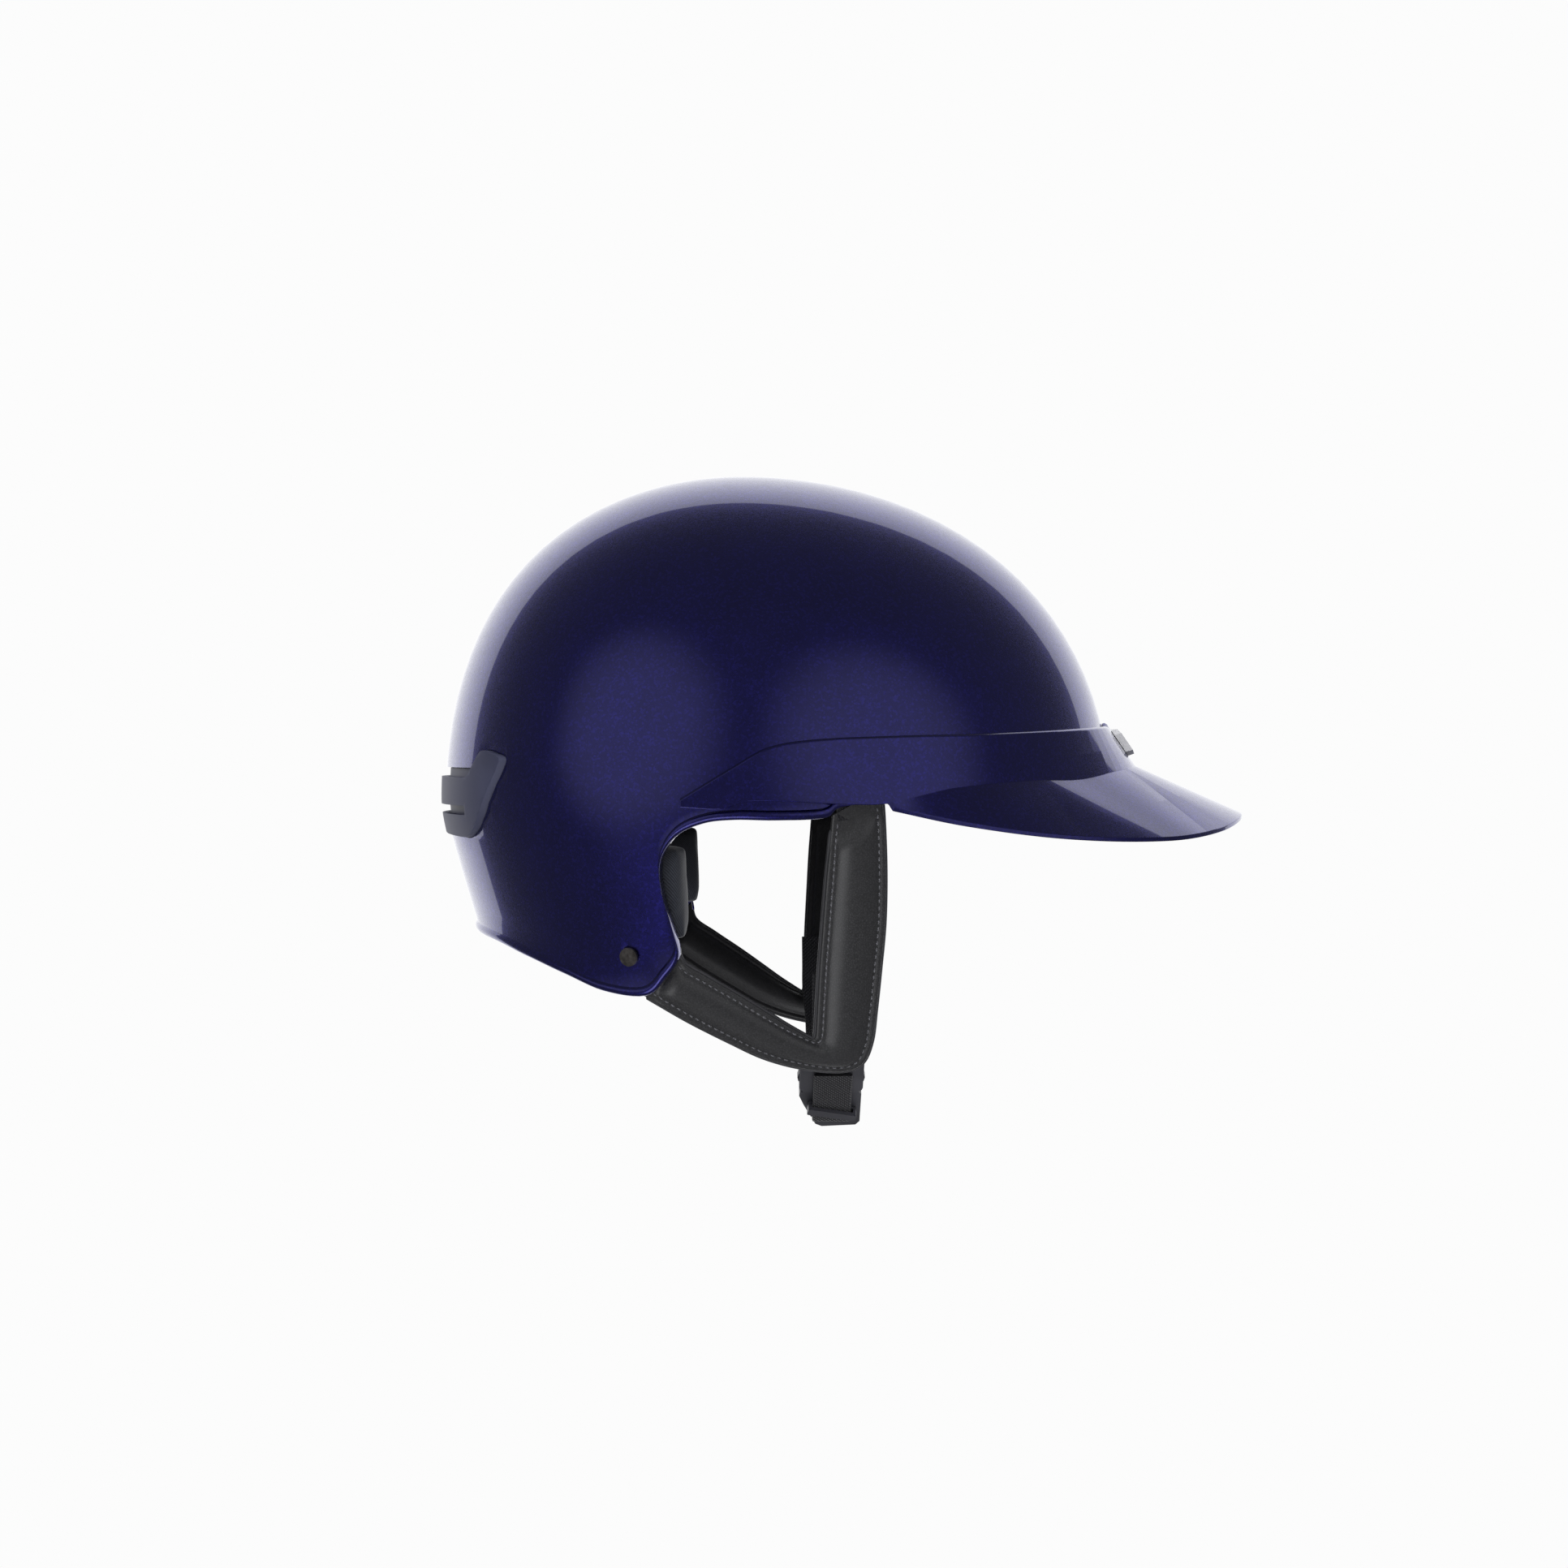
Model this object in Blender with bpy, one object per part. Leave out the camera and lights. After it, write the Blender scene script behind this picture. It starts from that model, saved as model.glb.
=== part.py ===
"""Open-face riding helmet with a push-on peak, a louvred rear vent and a buckled chin harness.

The frame: +X is the front, +Y the wearer's left, +Z up. The origin is the middle of the head
opening at brow height. Sizes are in millimetres here and are turned into metres by MM.
"""
import math

import bmesh
import bpy
from mathutils import Matrix, Vector

MM = 0.001

# Dome of the shell: an egg-shaped plan under a slightly squared arch.
CROWN_X = -16.4
EQUATOR_Z = -5.0
CROWN_RISE = 130.8
HALF_LENGTH = 135.9
HALF_WIDTH = 114.0
EGG = 10.0
PLAN_SHIFT = 4.1
SQUARENESS = 0.09
SQUARENESS_REAR = 0.03
TAPER_SIDE = 0.12
TAPER_REAR = 0.18
TAPER_FRONT = 0.06
TAPER_EASE = 12.0

# Walls, from the shell's outer face inwards.
SHELL_WALL = 3.2
GAP = 0.3
PAD_GAP = 1.8
STUB_GAP = 1.2
LINER_OUTER = 6.4
LINER_INNER = 28.5
COMFORT_INNER = 35.0
EAR_PAD_INNER = 20.0
BEAD = 1.4
BEAD_MIDDLE = 1.7
BEAD_HALF = 1.8
BEAD_ROWS = (3.6, 2.8, 1.7, 0.7)
RIM_RING_DEG = 6.5

# Rim of the shell seen from the side, brow to nape, as (x, z, plan angle above it in degrees).
BROW_Z = -5.0
NAPE_Z = -58.3
RIM = [
    (124.0, -5.0, 20.0), (100.0, -5.0, 38.5), (60.0, -5.0, 59.5), (32.0, -5.2, 71.5),
    (18.4, -6.6, 77.0), (12.5, -10.4, 80.5), (-5.0, -11.2, 87.0), (-19.8, -11.0, 93.0),
    (-31.0, -12.3, 98.0), (-41.0, -17.0, 102.5), (-46.6, -26.0, 106.0), (-46.0, -38.0, 109.5),
    (-42.6, -50.0, 113.5), (-40.2, -61.0, 118.0), (-45.0, -69.0, 122.5), (-52.4, -76.0, 127.0),
    (-68.0, -75.0, 132.5), (-83.0, -69.6, 139.0), (-99.0, -64.0, 148.0), (-114.0, -59.6, 158.0),
]
LINER_BROW_Z = -2.0
LINER_NAPE_Z = -21.0
LINER_RIM = [
    (124.0, -2.0, 20.0), (100.0, -2.0, 38.5), (60.0, -2.0, 59.5), (20.0, -3.0, 76.5),
    (-5.0, -7.0, 87.0), (-25.0, -8.5, 95.5), (-42.0, -14.0, 103.0), (-58.0, -19.5, 110.5),
    (-80.0, -21.0, 123.0), (-106.0, -21.0, 142.0), (-127.0, -21.0, 162.0),
]
SHELL_ARCH = (90, 78, 66, 54, 42, 30, 18)
LINER_ARCH = (90, 75, 60, 45, 30, 17)
CROWN_PAD_ARCH = (90, 74, 58)
CROWN_PAD_COLUMNS = 24

# Peak: a band that wraps the shell and a faceted brim in front of it.
BAND_GAP = 0.6
BAND_WALL = 2.0
BAND_FLARE = 8.9
BAND_FLARE_DEG = 48.0
BAND_TOP_ROUND = 0.8
BRIM_THICKNESS = 2.0
BRIM_CENTRE_X = 35.0
BRIM_LENGTH = 153.0
BRIM_HALF_WIDTH = 109.0
BAND_TOP = [(150, 24.8), (112, 22.0), (75, 20.2), (38, 19.2), (8, 17.8), (-8, 15.0), (-20, 8.5),
            (-39.5, -3.2)]
BAND_BOTTOM = [(150, 7.4), (127.8, 5.0), (111, 2.6), (92.5, 2.6), (60, 0.2), (35, -4.6),
               (22, -4.8), (-14, -3.4), (-25, -6.2), (-39.5, -5.6)]
BRIM_EDGE = [(35, -6.0), (65, -12.3), (104, -17.4), (146, -18.9), (170, -16.4), (188, -11.4)]
# Facet lines of the brim, as (x where it leaves the band, x where it meets the edge).
FACETS = [(92.5, 111.5), (92.5, 138.0), (127.8, 163.0), (127.8, 175.6)]

# Front badge plate.
BADGE_HALF_WIDTH = 14.0
BADGE_LOW = 11.6
BADGE_HIGH = 21.6
BADGE_PROUD = 1.4

# Rear vent insert seen from behind, half outline as (y, z), and its louvre slot.
VENT_OUTLINE = [(0.0, 3.6), (58.5, 3.6), (67.0, 14.6), (77.6, 11.4), (75.0, 4.4), (70.6, -3.8),
                (67.6, -9.6), (62.4, -15.8), (54.8, -19.8), (28.0, -19.2), (0.0, -18.4)]
VENT_OPENING = [(0.0, 7.0), (60.4, 7.0)]
VENT_SLOT = (57.0, -11.0, -7.4)
VENT_PROUD = 1.9
VENT_DEPTHS = (-160.0, -92.0)

# Chin harness: where its hinge line crosses the shell, and how it leans inwards below.
HINGE_FRONT = (25.0, -103.0, -12.0)
HINGE_REAR = (-46.0, -98.4, -68.0)
HARNESS_LEAN = 0.33
STRAP_THICKNESS = 6.6
STRAP_FLANGE = 2.6
STRAP_STATIONS = [
    ((34.8, -9.5), (14.6, -21.6)), ((36.0, -30.0), (13.6, -33.0)), ((36.1, -50.0), (12.5, -50.0)),
    ((34.9, -68.0), (11.4, -68.0)), ((33.6, -84.0), (10.7, -84.0)), ((32.2, -97.0), (10.3, -93.0)),
    ((28.4, -105.6), (9.4, -94.6)), ((20.0, -108.3), (8.2, -94.2)), ((5.0, -106.4), (0.0, -89.2)),
    ((-9.0, -102.0), (-8.5, -83.4)), ((-22.0, -95.3), (-18.0, -77.0)),
    ((-36.8, -87.0), (-30.0, -69.4)), ((-49.4, -79.0), (-40.6, -66.0)),
]
WEBBING_WIDTH = 15.0
WEBBING = 1.2
WEBBING_X = 18.0
WEBBING_STAND = 2.0

# Rivets through the shell, as (x, z) seen from the side.
REAR_RIVET = (-58.4, -61.6)
FRONT_RIVET = (25.0, 1.5)
RIVET_HEAD = 3.5
RIVET_SHANK = 1.6
WASHER = 5.0
POCKET_DEPTH = 8.0

# Buckle: its own frame has x forward, y along the plug's way out, z towards the chin.
BUCKLE_AT = (17.5, -47.0, -117.0)
BUCKLE_TILT_DEG = 44.0
BUCKLE_HALF_WIDTH = 12.4
SOCKET_LENGTH = 22.0
SOCKET_HALF_HEIGHT = 4.0
TUNNEL_DEPTH = 13.0
TUNNEL_HALF_HEIGHT = 2.4
PLUG_LENGTH = 24.0
PLUG_HALF_HEIGHT = 3.5
TAIL_DEPTH = -5.6
KEEPER_AT = 10.0
KEEPER_SLANT_DEG = 14.0


def clear_scene():
    """Remove what the scene holds, so that the part stands alone."""
    for old in list(bpy.data.objects):
        bpy.data.objects.remove(old, do_unlink=True)


def material(name, colour, roughness, metallic=0.0):
    """A Principled material of one colour."""
    made = bpy.data.materials.new(name)
    made.use_nodes = True
    shader = made.node_tree.nodes["Principled BSDF"]
    shader.inputs["Base Color"].default_value = (*colour, 1.0)
    shader.inputs["Roughness"].default_value = roughness
    shader.inputs["Metallic"].default_value = metallic
    return made


def between(points, x):
    """The height of a polyline at x, eased by a smooth curve through its points."""
    ordered = sorted(points)
    if x <= ordered[0][0]:
        return ordered[0][1]
    for index in range(len(ordered) - 1):
        (x0, y0), (x1, y1) = ordered[index], ordered[index + 1]
        if x <= x1:
            before = ordered[max(index - 1, 0)]
            after = ordered[min(index + 2, len(ordered) - 1)]
            slope0 = (y1 - before[1]) / (x1 - before[0])
            slope1 = (after[1] - y0) / (after[0] - x0)
            t = (x - x0) / (x1 - x0)
            span = x1 - x0
            return ((2 * t**3 - 3 * t**2 + 1) * y0 + (t**3 - 2 * t**2 + t) * span * slope0
                    + (3 * t**2 - 2 * t**3) * y1 + (t**3 - t**2) * span * slope1)
    return ordered[-1][1]


def smooth_path(points, steps):
    """A Catmull-Rom curve through points of any dimension, steps samples per span."""
    padded = [points[0], *points, points[-1]]
    path = []
    for p0, p1, p2, p3 in zip(padded, padded[1:], padded[2:], padded[3:]):
        for step in range(steps):
            t = step / steps
            path.append(tuple(
                0.5 * (2 * b + (c - a) * t + (2 * a - 5 * b + 4 * c - d) * t**2
                       + (3 * b - a - 3 * c + d) * t**3)
                for a, b, c, d in zip(p0, p1, p2, p3)))
    path.append(tuple(points[-1]))
    return path


# The dome. A place on it is a plan angle (0 at the front, positive on the left) and a latitude
# (radians; below the equator it is the drop divided by CROWN_RISE).

def dome_scale(angle, latitude):
    """How far out the dome lies at a latitude, as a share of its plan outline."""
    forward = math.cos(angle)
    if latitude >= 0.0:
        square = SQUARENESS - SQUARENESS_REAR * forward
        return math.cos(latitude) * (1.0 + square * math.sin(latitude) ** 2)
    drop = -latitude * CROWN_RISE
    taper = TAPER_SIDE - TAPER_REAR * min(forward, 0.0) * abs(forward)
    taper -= TAPER_FRONT * max(forward, 0.0)
    return 1.0 - taper * (math.hypot(drop, TAPER_EASE) - TAPER_EASE) / HALF_WIDTH


def dome_face(angle, latitude):
    """A point of the shell's outer face."""
    share = dome_scale(angle, latitude)
    forward = math.cos(angle)
    x = CROWN_X + share * (HALF_LENGTH * forward + EGG * forward**2 + PLAN_SHIFT)
    y = share * HALF_WIDTH * math.sin(angle)
    rise = math.sin(latitude) if latitude >= 0.0 else latitude
    return Vector((x, y, EQUATOR_Z + CROWN_RISE * rise))


def dome(angle, latitude, outwards=0.0):
    """A point at a distance from the shell's outer face, along its normal."""
    here = dome_face(angle, latitude)
    if latitude > 1.56:
        return here + Vector((0.0, 0.0, outwards))
    step = 0.002
    along = dome_face(angle + step, latitude) - dome_face(angle - step, latitude)
    up = dome_face(angle, latitude + step) - dome_face(angle, latitude - step)
    return here + along.cross(up).normalized() * outwards


def latitude_at(z):
    """The latitude of a height."""
    rise = (z - EQUATOR_Z) / CROWN_RISE
    return math.asin(min(rise, 1.0)) if rise >= 0.0 else rise


def angle_at(x, z):
    """The plan angle, on the left side, of the shell's point at x and z."""
    latitude = latitude_at(z)
    angle = math.pi / 2.0
    for _ in range(6):
        reach = (x - CROWN_X) / dome_scale(angle, latitude) - PLAN_SHIFT
        root = math.sqrt(max(HALF_LENGTH**2 + 4.0 * EGG * reach, 0.0))
        angle = math.acos(max(-1.0, min(1.0, (root - HALF_LENGTH) / (2.0 * EGG))))
    return angle


def skin(name, rings, made, wrap_rings=False, wrap_loop=True):
    """A closed body skinned over rings of points, capped where the rings don't wrap round."""
    body = bmesh.new()
    grid = [[body.verts.new(Vector(point) * MM) for point in ring] for ring in rings]
    count = len(grid[0])
    last = len(grid) if wrap_rings else len(grid) - 1
    for index in range(last):
        ring, following = grid[index], grid[(index + 1) % len(grid)]
        for place in range(count if wrap_loop else count - 1):
            after = (place + 1) % count
            body.faces.new((ring[place], ring[after], following[after], following[place]))
    if not wrap_rings:
        body.faces.new(grid[0])
        body.faces.new(grid[-1])
    bmesh.ops.remove_doubles(body, verts=body.verts, dist=2e-6)
    bmesh.ops.dissolve_degenerate(body, dist=2e-6, edges=body.edges)
    bmesh.ops.triangulate(body, faces=body.faces)
    bmesh.ops.recalc_face_normals(body, faces=body.faces)
    return add_object(name, body, made)


def add_object(name, body, made):
    """Turn a bmesh into a named object, shaded smooth with sharp edges kept."""
    mesh = bpy.data.meshes.new(name)
    body.to_mesh(mesh)
    body.free()
    mesh.materials.append(made)
    mesh.shade_smooth()
    mesh.set_sharp_from_angle(angle=math.radians(32.0))
    thing = bpy.data.objects.new(name, mesh)
    bpy.context.collection.objects.link(thing)
    return thing


def prism(name, outline, low, high, made, frame=None):
    """An outline of (x, y) points raised from low to high along z, in a frame of its own."""
    body = bmesh.new()
    loops = [[body.verts.new(Vector((x, y, z)) * MM) for x, y in outline] for z in (low, high)]
    body.faces.new(loops[0])
    body.faces.new(loops[1])
    for index in range(len(outline)):
        after = (index + 1) % len(outline)
        body.faces.new((loops[0][index], loops[0][after], loops[1][after], loops[1][index]))
    bmesh.ops.recalc_face_normals(body, faces=body.faces)
    if frame is not None:
        body.transform(frame)
    return add_object(name, body, made)


def rounded_box(half_x, half_y, corner, steps=3):
    """The outline of a rectangle with round corners, about its centre."""
    outline = []
    for quarter, (sx, sy) in enumerate(((1, 1), (-1, 1), (-1, -1), (1, -1))):
        for step in range(steps + 1):
            turn = math.radians(90.0 * (quarter + step / steps))
            outline.append((sx * (half_x - corner) + corner * math.cos(turn),
                            sy * (half_y - corner) + corner * math.sin(turn)))
    return outline


def shifted(outline, dx, dy):
    """An outline moved in its own plane."""
    return [(x + dx, y + dy) for x, y in outline]


def cutter(thing):
    """Mark an object as a cutting tool that is not part of the model."""
    thing.hide_render = True
    thing.display_type = "WIRE"
    thing.data.materials.clear()
    return thing


def combine(thing, tool, operation="DIFFERENCE"):
    """Cut, join or intersect an object with a tool."""
    change = thing.modifiers.new(operation.lower(), "BOOLEAN")
    change.operation = operation
    change.object = tool
    change.solver = "EXACT"


def aimed(point, direction):
    """A frame, in metres, at a point with its z axis along a direction."""
    turn = direction.to_track_quat("Z", "Y").to_matrix().to_4x4()
    return Matrix.Translation(Vector(point) * MM) @ turn


def mirrored(point, side):
    """A point given on the right side, on the side asked for (-1 right, 1 left)."""
    return Vector((point[0], -side * point[1], point[2]))


def pivot(name, place):
    """An empty that stands on a joint's axis."""
    empty = bpy.data.objects.new(name, None)
    empty.empty_display_size = 0.01
    empty.location = Vector(place) * MM
    bpy.context.collection.objects.link(empty)
    return empty


def hang(things, holder, place):
    """Parent objects to an empty and put their origins on it."""
    offset = Vector(place) * MM
    for thing in things:
        thing.data.transform(Matrix.Translation(-offset))
        thing.parent = holder


# Shell, liner and pads.

def rim_columns(rim, brow, nape, steps):
    """Columns round the dome as (upper angle, rim angle, rim latitude), right round the head."""
    points = [(0.0, 0.0, brow)]
    points += [(math.radians(above), angle_at(x, z), z) for x, z, above in rim]
    points.append((math.pi, math.pi, nape))
    half = [(above, angle, latitude_at(z)) for above, angle, z in smooth_path(points, steps)]
    others = [(-above, -angle, latitude) for above, angle, latitude in half[-2:0:-1]]
    return half + others


def bead_height(x, down):
    """How proud the rolled rim stands at a distance up from the edge; it fades under the peak."""
    fade = min(max((22.0 - x) / 12.0, 0.0), 1.0)
    return BEAD * fade * math.sqrt(max(1.0 - ((down - BEAD_MIDDLE) / BEAD_HALF) ** 2, 0.0))


def dome_ring(column, outer, inner, arch, with_bead=False):
    """One column of a dome-shaped wall: down its outer face and back up its inner face."""
    ring_angle, rim_angle, rim_latitude = column
    ring_latitude = math.radians(RIM_RING_DEG)
    reach = (dome_face(ring_angle, ring_latitude) - dome_face(rim_angle, rim_latitude)).length
    arch = [(ring_angle, math.radians(degrees)) for degrees in arch]
    bead_rows = BEAD_ROWS if with_bead else BEAD_ROWS[:1]
    wall = 1.0 - bead_rows[0] / reach
    shares = [wall * share for share in (0.0, 0.25, 0.5, 0.75)]
    shares += [1.0 - down / reach for down in bead_rows]
    lower = [(ring_angle + (rim_angle - ring_angle) * share,
              ring_latitude + (rim_latitude - ring_latitude) * share) for share in shares + [1.0]]
    points = []
    for angle, latitude in arch + lower:
        place = dome_face(angle, latitude)
        down = (place - dome_face(rim_angle, rim_latitude)).length
        proud = bead_height(place.x, down) if with_bead and down < 3.55 else 0.0
        points.append(dome(angle, latitude, proud - outer))
    back = arch + lower[:5] + [lower[-1]]
    points += [dome(angle, latitude, -inner) for angle, latitude in reversed(back)]
    return points


def pad_ring(angle, low, high, outer, inner, rows):
    """One column of a pad that lies against the dome, rounded at its lower and upper edges."""
    middle = (outer + inner) / 2.0
    half = (inner - outer) / 2.0
    points = []
    for side in (1.0, -1.0):
        order = range(rows + 1) if side > 0 else range(rows, -1, -1)
        for row in order:
            share = row / rows
            plump = 0.45 if row in (0, rows) else 1.0
            latitude = latitude_at(low + (high - low) * share)
            points.append(dome(angle, latitude, -(middle - side * half * plump)))
    return points


def pad(name, angles, low, high, outer, inner, made, rows=4):
    """A pad between two heights over a list of plan angles; low and high are functions of x."""
    rings = []
    for angle in angles:
        x = dome_face(angle, 0.0).x
        rings.append(pad_ring(angle, low(x), high(x), outer, inner, rows))
    return skin(name, rings, made)


def build_shell(paint):
    """The outer shell: a dome with ear cut-outs, a rolled rim, the vent opening and rivet holes."""
    columns = rim_columns(RIM, BROW_Z, NAPE_Z, 2)
    rings = [dome_ring(column, 0.0, SHELL_WALL, SHELL_ARCH, with_bead=True) for column in columns]
    shell = skin("outer_shell", rings, paint, wrap_rings=True, wrap_loop=False)
    opening = VENT_OPENING + VENT_OUTLINE[2:]
    combine(shell, cutter(vent_prism("vent_opening", opening, GAP, paint)))
    for side in (-1, 1):
        for place, radius in ((REAR_RIVET, RIVET_SHANK), (FRONT_RIVET, RIVET_HEAD)):
            point, normal = shell_place(place, side)
            hole = disc("rivet_hole", point, normal, radius + GAP, -8.0, 6.0, paint, 20)
            combine(shell, cutter(hole))
    return shell


def shell_place(place, side):
    """A point on the shell's outer face given as (x, z), and the normal there."""
    angle = side * angle_at(*place)
    latitude = latitude_at(place[1])
    point = dome_face(angle, latitude)
    return point, (dome(angle, latitude, 1.0) - point).normalized()


def disc(name, point, normal, radius, low, high, made, sides=24):
    """A cylinder along a normal, from low to high above a point."""
    outline = [(radius * math.cos(2.0 * math.pi * step / sides),
                radius * math.sin(2.0 * math.pi * step / sides)) for step in range(sides)]
    return prism(name, outline, low, high, made, aimed(point, normal))


def vent_prism(name, half, grow, made):
    """The vent's outline grown by a gap and drawn through the back of the shell."""
    whole = half + [(-y, z) for y, z in half[-2:0:-1]]
    grown = []
    for index, here in enumerate(whole):
        before = Vector(whole[index - 1])
        after = Vector(whole[(index + 1) % len(whole)])
        along = (after - before).normalized()
        grown.append(Vector(here) + Vector((-along.y, along.x)) * grow)
    return prism(name, grown, *VENT_DEPTHS, made, rear_frame())


def rear_frame():
    """A frame whose x runs along +Y and y along +Z, for outlines seen from behind."""
    return Matrix(((0.0, 0.0, 1.0, 0.0), (1.0, 0.0, 0.0, 0.0), (0.0, 1.0, 0.0, 0.0),
                   (0.0, 0.0, 0.0, 1.0)))


def build_vent(matte):
    """The louvred insert that fills the opening at the back of the shell."""
    turns = [math.pi + math.radians(degrees) for degrees in range(-60, 61, 5)]
    rings = [pad_ring(turn, -26.0, 22.0, -VENT_PROUD, SHELL_WALL, 8) for turn in turns]
    insert = skin("rear_vent", rings, matte)
    combine(insert, cutter(vent_prism("vent_outline", VENT_OUTLINE, 0.0, matte)), "INTERSECT")
    half_width, low, high = VENT_SLOT
    slot = [(-half_width, low), (half_width, low), (half_width, high), (-half_width, high)]
    combine(insert, cutter(prism("vent_slot", slot, *VENT_DEPTHS, matte, rear_frame())))
    return insert


def build_liner(foam):
    """The impact liner inside the shell, which ends above the soft ear and nape pads."""
    columns = rim_columns(LINER_RIM, LINER_BROW_Z, LINER_NAPE_Z, 2)
    rings = [dome_ring(column, LINER_OUTER, LINER_INNER, LINER_ARCH) for column in columns]
    liner = skin("impact_liner", rings, foam, wrap_rings=True, wrap_loop=False)
    for side in (-1, 1):
        point, normal = shell_place(FRONT_RIVET, side)
        pocket = disc("rivet_pocket", point, normal, WASHER + 1.0, -POCKET_DEPTH, 3.0, foam, 16)
        combine(liner, cutter(pocket))
    return liner


def build_pads(cloth):
    """Comfort pads: crown, brow, nape and one behind each ear."""
    arch = [math.radians(degrees) for degrees in CROWN_PAD_ARCH]
    crown = []
    for step in range(CROWN_PAD_COLUMNS):
        angle = 2.0 * math.pi * step / CROWN_PAD_COLUMNS
        outer = [dome(angle, latitude, -LINER_INNER - PAD_GAP) for latitude in arch]
        inner = [dome(angle, latitude, -COMFORT_INNER) for latitude in reversed(arch)]
        crown.append(outer + inner)
    skin("crown_pad", crown, cloth, wrap_rings=True, wrap_loop=False)
    turns = [math.radians(degrees) for degrees in range(-64, 65, 8)]
    pad("brow_pad", turns, lambda x: 0.0, lambda x: 26.0, LINER_INNER + PAD_GAP, COMFORT_INNER,
        cloth)
    turns = [math.pi + math.radians(degrees) for degrees in range(-40, 41, 8)]
    pad("nape_pad", turns, lambda x: NAPE_Z + 3.0, lambda x: -24.0, SHELL_WALL + PAD_GAP,
        EAR_PAD_INNER, cloth)
    for side, label in ((-1, "right"), (1, "left")):
        turns = [side * math.radians(degrees) for degrees in (101, 105, 110, 116, 122, 128, 133)]
        pad("ear_pad_" + label, turns, lambda x: -58.0 if x > -60.0 else -56.0, lambda x: -24.0,
            SHELL_WALL + PAD_GAP, EAR_PAD_INNER, cloth)


# Peak and badge.

def band_angle(x, z):
    """The plan angle of the band's point at x, on the left side, past the front as 0."""
    return angle_at(min(x, dome_face(0.0, latitude_at(z)).x), z)


def band_point(angle, z, outwards):
    """A point of the band; behind the widest place it runs straight back, clear of the shell."""
    latitude = latitude_at(z)
    widest = math.acos(0.0)
    if abs(angle) <= widest:
        return dome(angle, latitude, outwards)
    side = math.copysign(1.0, angle)
    point = dome(side * widest, latitude, outwards)
    x = dome_face(angle, latitude).x
    return Vector((x, point.y, point.z))


def flare(angle):
    """How far the band's lower edge stands off beyond its wall, most at the front."""
    turn = min(abs(math.degrees(angle)) / BAND_FLARE_DEG, 1.0)
    return BAND_FLARE * math.cos(turn * math.pi / 2.0) ** 2


def brim_edge_point(x):
    """A point of the brim's edge at x, on the left side."""
    share = min((x - BRIM_CENTRE_X) / BRIM_LENGTH, 1.0)
    return Vector((x, BRIM_HALF_WIDTH * math.sqrt(1.0 - share**2), between(BRIM_EDGE, x)))


def peak_stations():
    """Stations from the front to the tab as (band x, edge x); the brim ends at its centre x."""
    front_x = CROWN_X + HALF_LENGTH + EGG + PLAN_SHIFT
    tip = BRIM_CENTRE_X + BRIM_LENGTH
    corners = [(front_x, tip), *reversed(FACETS), (BRIM_CENTRE_X, BRIM_CENTRE_X)]
    stations = []
    for (band0, edge0), (band1, edge1) in zip(corners, corners[1:]):
        steps = 8 if band1 == BRIM_CENTRE_X else 4
        for step in range(steps):
            share = step / steps
            turn0, turn1 = band_angle(band0, 5.0), band_angle(band1, 5.0)
            turn = turn0 + (turn1 - turn0) * share
            edge = edge_turn(edge0) + (edge_turn(edge1) - edge_turn(edge0)) * share
            stations.append((turn, BRIM_CENTRE_X + BRIM_LENGTH * math.cos(edge)))
    for x in (35, 26, 17, 8, -1, -10, -17, -24, -31, -37, -39.5):
        stations.append((band_angle(x, 0.0), None))
    return stations


def edge_turn(x):
    """The ellipse angle of the brim's edge at x."""
    return math.acos(min((x - BRIM_CENTRE_X) / BRIM_LENGTH, 1.0))


def peak_ring(turn, edge_x, side):
    """A section through the peak: band outside, brim top, brim edge, underside, band inside."""
    x = dome_face(turn, 0.0).x
    front_x = dome_face(0.0, 0.0).x
    top = between(BAND_TOP, x if x < front_x - 0.5 else 150)
    bottom = between(BAND_BOTTOM, x + flare(turn))
    angle = side * turn
    middle = (top + bottom) / 2.0
    stand = BAND_GAP + BAND_WALL
    outside = [band_point(angle, top, BAND_GAP + 1.1), band_point(angle, top - BAND_TOP_ROUND, stand)]
    root = band_point(angle, bottom, stand + flare(turn))
    outside.append(outside[1].lerp(root, 0.5))
    inside = [band_point(angle, z, BAND_GAP) for z in (bottom - 0.4, middle, top)]
    if edge_x is None:
        tip = root
        ridge = root
    else:
        tip = brim_edge_point(edge_x)
        tip = Vector((tip.x, side * tip.y, tip.z))
        ridge = root.lerp(tip, 0.5)
    thick = Vector((0.0, 0.0, BRIM_THICKNESS))
    under = [tip - thick * 0.8, ridge - thick, root - thick] if edge_x is not None else [
        root - thick * 0.4] * 3
    return [*outside, root, ridge, tip, *under, *inside]


def build_peak(paint):
    """The peak in one piece: band, faceted brim and the two side tabs."""
    stations = peak_stations()
    rings = [peak_ring(turn, edge_x, -1.0) for turn, edge_x in reversed(stations)]
    rings += [peak_ring(turn, edge_x, 1.0) for turn, edge_x in stations[1:]]
    return skin("peak", rings, paint)


def build_badge(paint):
    """A blank plate on the front of the band, flat in front and shaped to the band behind."""
    columns = [BADGE_HALF_WIDTH * step / 4.0 for step in range(-4, 5)]
    normal = front_normal()
    rings = []
    for y in columns:
        inset = 1.6 if abs(y) == BADGE_HALF_WIDTH else 0.0
        ring = []
        for z in (BADGE_LOW + inset, BADGE_HIGH - inset):
            ring.append(band_front(y, z) + normal * GAP)
        for z in (BADGE_HIGH - inset, BADGE_LOW + inset):
            face = band_front(0.0, z) + normal * (GAP + BADGE_PROUD)
            ring.append(Vector((face.x, y, face.z)))
        rings.append(ring)
    return skin("front_badge", rings, paint)


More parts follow.
